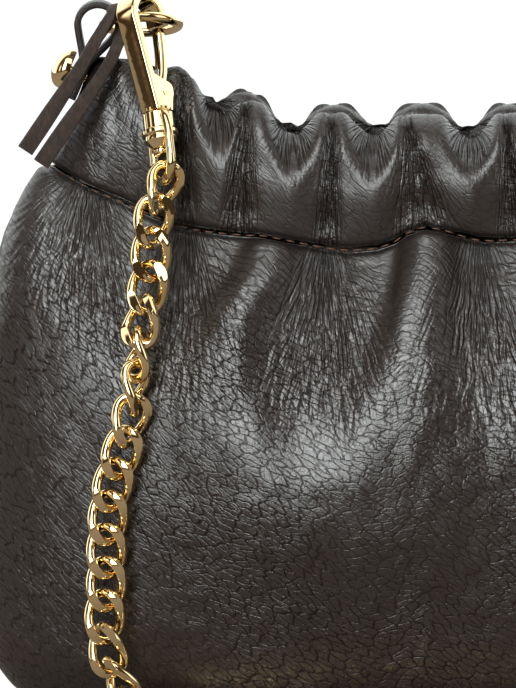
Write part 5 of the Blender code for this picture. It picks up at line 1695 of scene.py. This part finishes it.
def seam_edge(obj, columns, row):
    """Return one row of a shell's grid in millimetres."""
    points = np.empty(len(obj.data.vertices) * 3)
    obj.data.vertices.foreach_get("co", points)
    points = points.reshape(-1, 3)[:SHELL_POINTS[obj.name]].reshape(-1, columns, 3)
    return points[row] / MM


def one_stitch(start, length, seam, out):
    """Return the rings of points of one stitch that starts so far along the seam."""
    turn = 2 * math.pi * np.arange(THREAD_SIDES) / THREAD_SIDES
    rows = np.linspace(0, 1, THREAD_RINGS)
    at = start + STITCH * rows
    middle, way = (np.stack([np.interp(at, length, values[:, n]) for n in range(3)], axis=1)
                   for values in (seam, out))
    hump = np.sin(math.pi * rows) ** 0.6
    middle = middle + way * (THREAD_RISE * hump - THREAD_SINK)[:, None]
    tangent = unit(np.gradient(middle, axis=0))
    up = np.cross(tangent, way)
    thick = THREAD_RADIUS * np.sin(math.pi * (0.06 + 0.88 * rows)) ** 0.5
    return (middle[:, None] + thick[:, None, None] * (
        np.cos(turn)[None, :, None] * way[:, None]
        + np.sin(turn)[None, :, None] * up[:, None]))


def make_stitches(half):
    """Lay stitches along one side's seam, midway between the channel and the belly."""
    lines = []
    for obj, row in ((bpy.data.objects[half + "_panel_leather"], -4),
                     (bpy.data.objects[half + "_channel_leather"], 3)):
        lines.append(smooth_path(seam_edge(obj, SHELL_COLUMNS[obj.name], row), SEAM_STEPS))
    seam = (lines[0] + lines[1]) / 2
    length = np.concatenate([[0], np.cumsum(np.linalg.norm(np.diff(seam, axis=0), axis=1))])
    out = unit(np.cross(np.gradient(seam, axis=0), lines[1] - lines[0]))
    out[:, 2] = 0
    out = unit(out)
    starts = np.arange(SEAM_MARGIN, length[-1] - SEAM_MARGIN - STITCH, STITCH + STITCH_GAP)
    points, faces = [], []
    for number, start in enumerate(starts):
        points.append(one_stitch(start, length, seam, out).reshape(-1, 3))
        index = np.arange(THREAD_RINGS * THREAD_SIDES).reshape(-1, THREAD_SIDES)
        index = index + number * index.size
        after = np.roll(index, -1, axis=1)
        quads = np.stack([index[:-1], after[:-1], after[1:], index[1:]], -1)
        faces += quads.reshape(-1, 4).tolist()
        faces += [index[0, ::-1].tolist(), index[-1].tolist()]
    mesh = bpy.data.meshes.new(half + "_seam_stitches")
    mesh.from_pydata((np.concatenate(points) * MM).tolist(), [], faces)
    mesh.update()
    mesh.shade_smooth()
    piece = outward(link(half + "_seam_stitches", mesh))
    finish_piece(piece, THREAD, "bag", None)
    print(half, "stitches:", len(starts))


make_stitches("front")
make_stitches("back")

# %% [markdown]
# ## Base, lining, pocket and elastic
#
# These pieces are mostly out of sight. The base and its board are ovals with rounded edges, and
# follow the plan's own equation. The cloth pieces keep their CAD form, because it already fits
# the inside. They are made finer, puckered a little by noise, and drawn in where the folds of
# the outside would touch them.

# %% Base, lining, pocket and elastic
CLOTH_REFINES, CLOTH_CREASE = 2, 40
PUCKER_WIDE, PUCKER_HIGH, PUCKER_SEED = 6, 11, 13
SLACK_FROM, SLACK_FULL, SLACK_KEPT, SLACK_ENDS = 62, 84, 112, 124


def oval_piece(name, node, edge, material, slot):
    """Make a plate with the solid's oval outline and rounded edges.

    Its rows go round a half circle: each is drawn in by the edge less its cosine share."""
    low, high = (np.array(corner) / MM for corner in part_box(node))
    half, thick = (high - low) / 2, high[2] - low[2]
    front_half = even_turns(121, half[0], half[1])[:-1]
    turns = np.concatenate([front_half, math.pi + front_half])
    rows = []
    for t in np.radians(np.linspace(-90, 90, 9)):
        inset = edge * (1 - math.cos(t))
        z = low[2] + (edge * (1 + math.sin(t)) if t < 0 else thick - edge * (1 - math.sin(t)))
        x, y = plan(half[0] - inset, half[1] - inset, turns)
        rows.append(np.stack([x, y, np.full(len(x), z)], axis=1))
    piece = outward(grid_object(name, np.array(rows) * MM, close_rows=True, caps=True), 50)
    return finish_piece(piece, material, "bag", slot, node)


def softened(name, node, material, slot, depth, slack=0.0):
    """Make a finer, slightly puckered copy of a cloth solid, drawn in behind the folds.

    Each point goes inwards along its normal where the noise is below zero, then towards the
    bag's middle by the slack."""
    source = frame["nodes"][node]
    mesh = source.data.copy()
    mesh.transform(source.matrix_world)
    mesh.name = name
    piece = link(name, mesh)
    for _ in range(CLOTH_REFINES):
        refine = piece.modifiers.new("refine", "SUBSURF")
        refine.subdivision_type = "SIMPLE"
        refine.levels = refine.render_levels = 1
        bpy.context.view_layer.objects.active = piece
        bpy.ops.object.modifier_apply(modifier=refine.name)
    count = len(piece.data.vertices)
    points, normals = np.empty(count * 3), np.empty(count * 3)
    piece.data.vertices.foreach_get("co", points)
    piece.data.vertices.foreach_get("normal", normals)
    points, normals = points.reshape(-1, 3), normals.reshape(-1, 3)
    pucker = soft_noise(points[:, 0] / (PUCKER_WIDE * MM), points[:, 2] / (PUCKER_HIGH * MM),
                        PUCKER_SEED)
    points = points + (depth * MM * np.minimum(pucker, 0))[:, None] * normals
    level = points[:, 2] / MM
    drawn = slack * MM * smooth_step(SLACK_FROM, SLACK_FULL, level)
    drawn = drawn * smooth_step(SLACK_ENDS, SLACK_KEPT, level)
    points[:, 1] -= np.sign(points[:, 1]) * np.minimum(drawn, np.abs(points[:, 1]) / 2)
    piece.data.vertices.foreach_set("co", points.ravel())
    piece.data.update()
    outward(piece, CLOTH_CREASE)
    return finish_piece(piece, material, "bag", slot, node)


oval_piece("base_leather", "base_panel", 0.8, TAB, "leather")
oval_piece("base_stiffener", "base_board", 0.4, BOARD, "board")
softened("lining_cloth", "lining_bag", LINING, "lining", 0.2, slack=2.8)
softened("pocket_cloth", "slip_pocket", LINING, "lining", 0.15, slack=2.8)
softened("elastic_band", "gather_elastic", ELASTIC, "elastic", 0.15)
print("hidden pieces dressed")

# %% [markdown]
# ## Materials of the CAD nodes that stay
#
# The magnet buttons at the mouth stay as they are in the CAD model, because they are round and
# plain already. They could be given a finish by name, but the record knows the slot of every
# node. So each one gets the finish of its slot, and none keeps a plain grey.

# %% Materials of the CAD nodes that stay
SLOT_OF = {row["node"]: row["material_slot"] for row in frame["record"]["subparts"]}
OF_SLOT = {"leather": TAB, "cut_leather": LACE, "lining": LINING, "board": BOARD,
           "elastic": ELASTIC, "gold": GOLD, "steel": STEEL}
for name, node in frame["nodes"].items():
    node.data.materials.clear()
    node.data.materials.append(OF_SLOT[SLOT_OF[name]])
print("nodes dressed:", len(frame["nodes"]))

# %% [markdown]
# ## Floor
#
# The photograph's ground is plain white. Paper lit until it looks white would also throw much
# light up at the bag and wash out its dark leather. So the floor answers two questions apart.
# The camera sees mostly a light of its own, with a share of shaded grey that keeps the bag's
# shadow. The bag itself gets only a dull brown grey bounce.

# %% Floor
FLOOR_LEFT, FLOOR_RIGHT, FLOOR_NEAR, FLOOR_FAR = -4.0, 4.0, -3.0, 5.0
FLOOR_GLOW, FLOOR_GLOW_SHARE, FLOOR_GREY = 1.3, 0.72, (0.42, 0.42, 0.42, 1)
FLOOR_BOUNCE = (0.23, 0.195, 0.175, 1)
floor = grid_object("floor", np.array([[(FLOOR_LEFT, FLOOR_NEAR, 0.0),
                                        (FLOOR_RIGHT, FLOOR_NEAR, 0.0)],
                                       [(FLOOR_LEFT, FLOOR_FAR, 0.0),
                                        (FLOOR_RIGHT, FLOOR_FAR, 0.0)]]))
ground = Finish("white_floor")
glow = ground.add("ShaderNodeEmission", None, {"Color": (1, 1, 1, 1), "Strength": FLOOR_GLOW})
shaded = ground.add("ShaderNodeBsdfDiffuse", None, {"Color": FLOOR_GREY})
bounce = ground.add("ShaderNodeBsdfDiffuse", None, {"Color": FLOOR_BOUNCE})
seen = ground.add("ShaderNodeMixShader", None, {0: FLOOR_GLOW_SHARE, 1: shaded.outputs[0],
                                                2: glow.outputs[0]})
ray = ground.add("ShaderNodeLightPath")
both = ground.add("ShaderNodeMixShader", None, {0: ray.outputs["Is Camera Ray"],
                                                1: bounce.outputs[0], 2: seen.outputs[0]})
output = ground.tree.nodes["Material Output"]
ground.tree.links.new(both.outputs[0], output.inputs["Surface"])
floor.data.materials.append(ground.material)
print("floor from", FLOOR_NEAR, "to", FLOOR_FAR, "m")

# %% [markdown]
# ## Light tent
#
# Small shiny goods are photographed in a tent of white cloth, with lamps behind it. The gold
# mirrors that tent, so its light has to be a picture and not just an amount. A few area lamps
# would give hard bright spots. Here the world itself is the tent: a bright back wall and three
# soft boxes, each a band of turns round the bag between two heights. Dim light is warm and
# bright light is white.

# %% Light tent
# Light boxes around the bag: (degrees round from the front, half width, fade, strength), with
# the heights between which each comes and goes
LIGHT_BOXES = ((-22.5, 11.0, 7.5, 9.0, (0.01, 0.22), (0.58, 0.90)),
               (-69.0, 3.5, 6.0, 1.4, (0.00, 0.15), (0.35, 0.60)),
               (62.0, 8.0, 14.0, 1.6, (0.00, 0.20), (0.50, 0.80)))
BACK_LIGHT, SIDE_LIGHT, BAND_TOP_LOSS = 1.8, 0.05, -0.92
DIM_TINT, BRIGHT_TINT = (1.0, 0.72, 0.52), (0.95, 1.0, 0.99)
world = bpy.data.worlds.new("light_tent")
bpy.context.scene.world = world
world.use_nodes = True
world.node_tree.nodes.clear()
sky = Tree(world.node_tree)


def light_box(round_turn, upward, middle, half, fade, lower, upper):
    """Return a box's light: its share round the bag times its share up the tent."""
    away = sky.math("ABSOLUTE", sky.math("SUBTRACT", round_turn, math.radians(middle)))
    box = sky.math("SUBTRACT", 1.0, sky.ramp(away, math.radians(half),
                                             math.radians(half + fade)))
    band = sky.math("MULTIPLY", sky.ramp(upward, *lower),
                    sky.math("MULTIPLY_ADD", sky.ramp(upward, *upper), BAND_TOP_LOSS, 1.0))
    return sky.math("MULTIPLY", box, band)


place = sky.add("ShaderNodeTexCoord").outputs["Generated"]
direction = sky.add("ShaderNodeSeparateXYZ", None, {0: place})
round_turn = sky.math("ARCTAN2", direction.outputs["X"],
                      sky.math("MULTIPLY", direction.outputs["Y"], -1.0))
light = SIDE_LIGHT
for middle, half, fade, strength, lower, upper in LIGHT_BOXES:
    box = light_box(round_turn, direction.outputs["Z"], middle, half, fade, lower, upper)
    light = sky.math("MULTIPLY_ADD", box, strength, light)
backdrop = sky.ramp(direction.outputs["Y"], 0.02, 0.40)
light = sky.math("MULTIPLY_ADD", backdrop, BACK_LIGHT, light)
tint = sky.mix(sky.ramp(light, 0.1, 1.2), DIM_TINT, BRIGHT_TINT)
lit = sky.add("ShaderNodeBackground", None, {"Color": tint, "Strength": light})
plain = sky.add("ShaderNodeBackground", None, {"Color": (1, 1, 1, 1), "Strength": 1.0})
ray = sky.add("ShaderNodeLightPath")
pick = sky.add("ShaderNodeMixShader", None, {0: ray.outputs["Is Camera Ray"],
                                             1: lit.outputs[0], 2: plain.outputs[0]})
sky.tree.links.new(pick.outputs[0], sky.add("ShaderNodeOutputWorld").inputs["Surface"])
print("light boxes:", len(LIGHT_BOXES))

# %% [markdown]
# ## Lamp above
#
# The tent alone leaves the bag's top a little dull. A small lamp would put a hard spot on every
# link, so this one is nearly a metre wide and hangs high in front of the bag.

# %% Lamp above
LAMP_PLACE, LAMP_AIM = Vector((-0.15, -0.55, 1.05)), Vector((-0.05, 0.0, 0.1))
LAMP_SIZE, LAMP_POWER = (0.9, 0.6), 3.0
glow = bpy.data.lights.new("lamp_top", "AREA")
glow.shape = "RECTANGLE"
glow.size, glow.size_y = LAMP_SIZE
glow.energy = LAMP_POWER
lamp = bpy.data.objects.new("lamp_top", glow)
bpy.context.scene.collection.objects.link(lamp)
lamp.location = LAMP_PLACE
lamp.rotation_mode = "QUATERNION"
lamp.rotation_quaternion = (LAMP_AIM - LAMP_PLACE).to_track_quat("-Z", "Y")
bpy.context.scene.view_settings.view_transform = "Standard"
print("stage set")
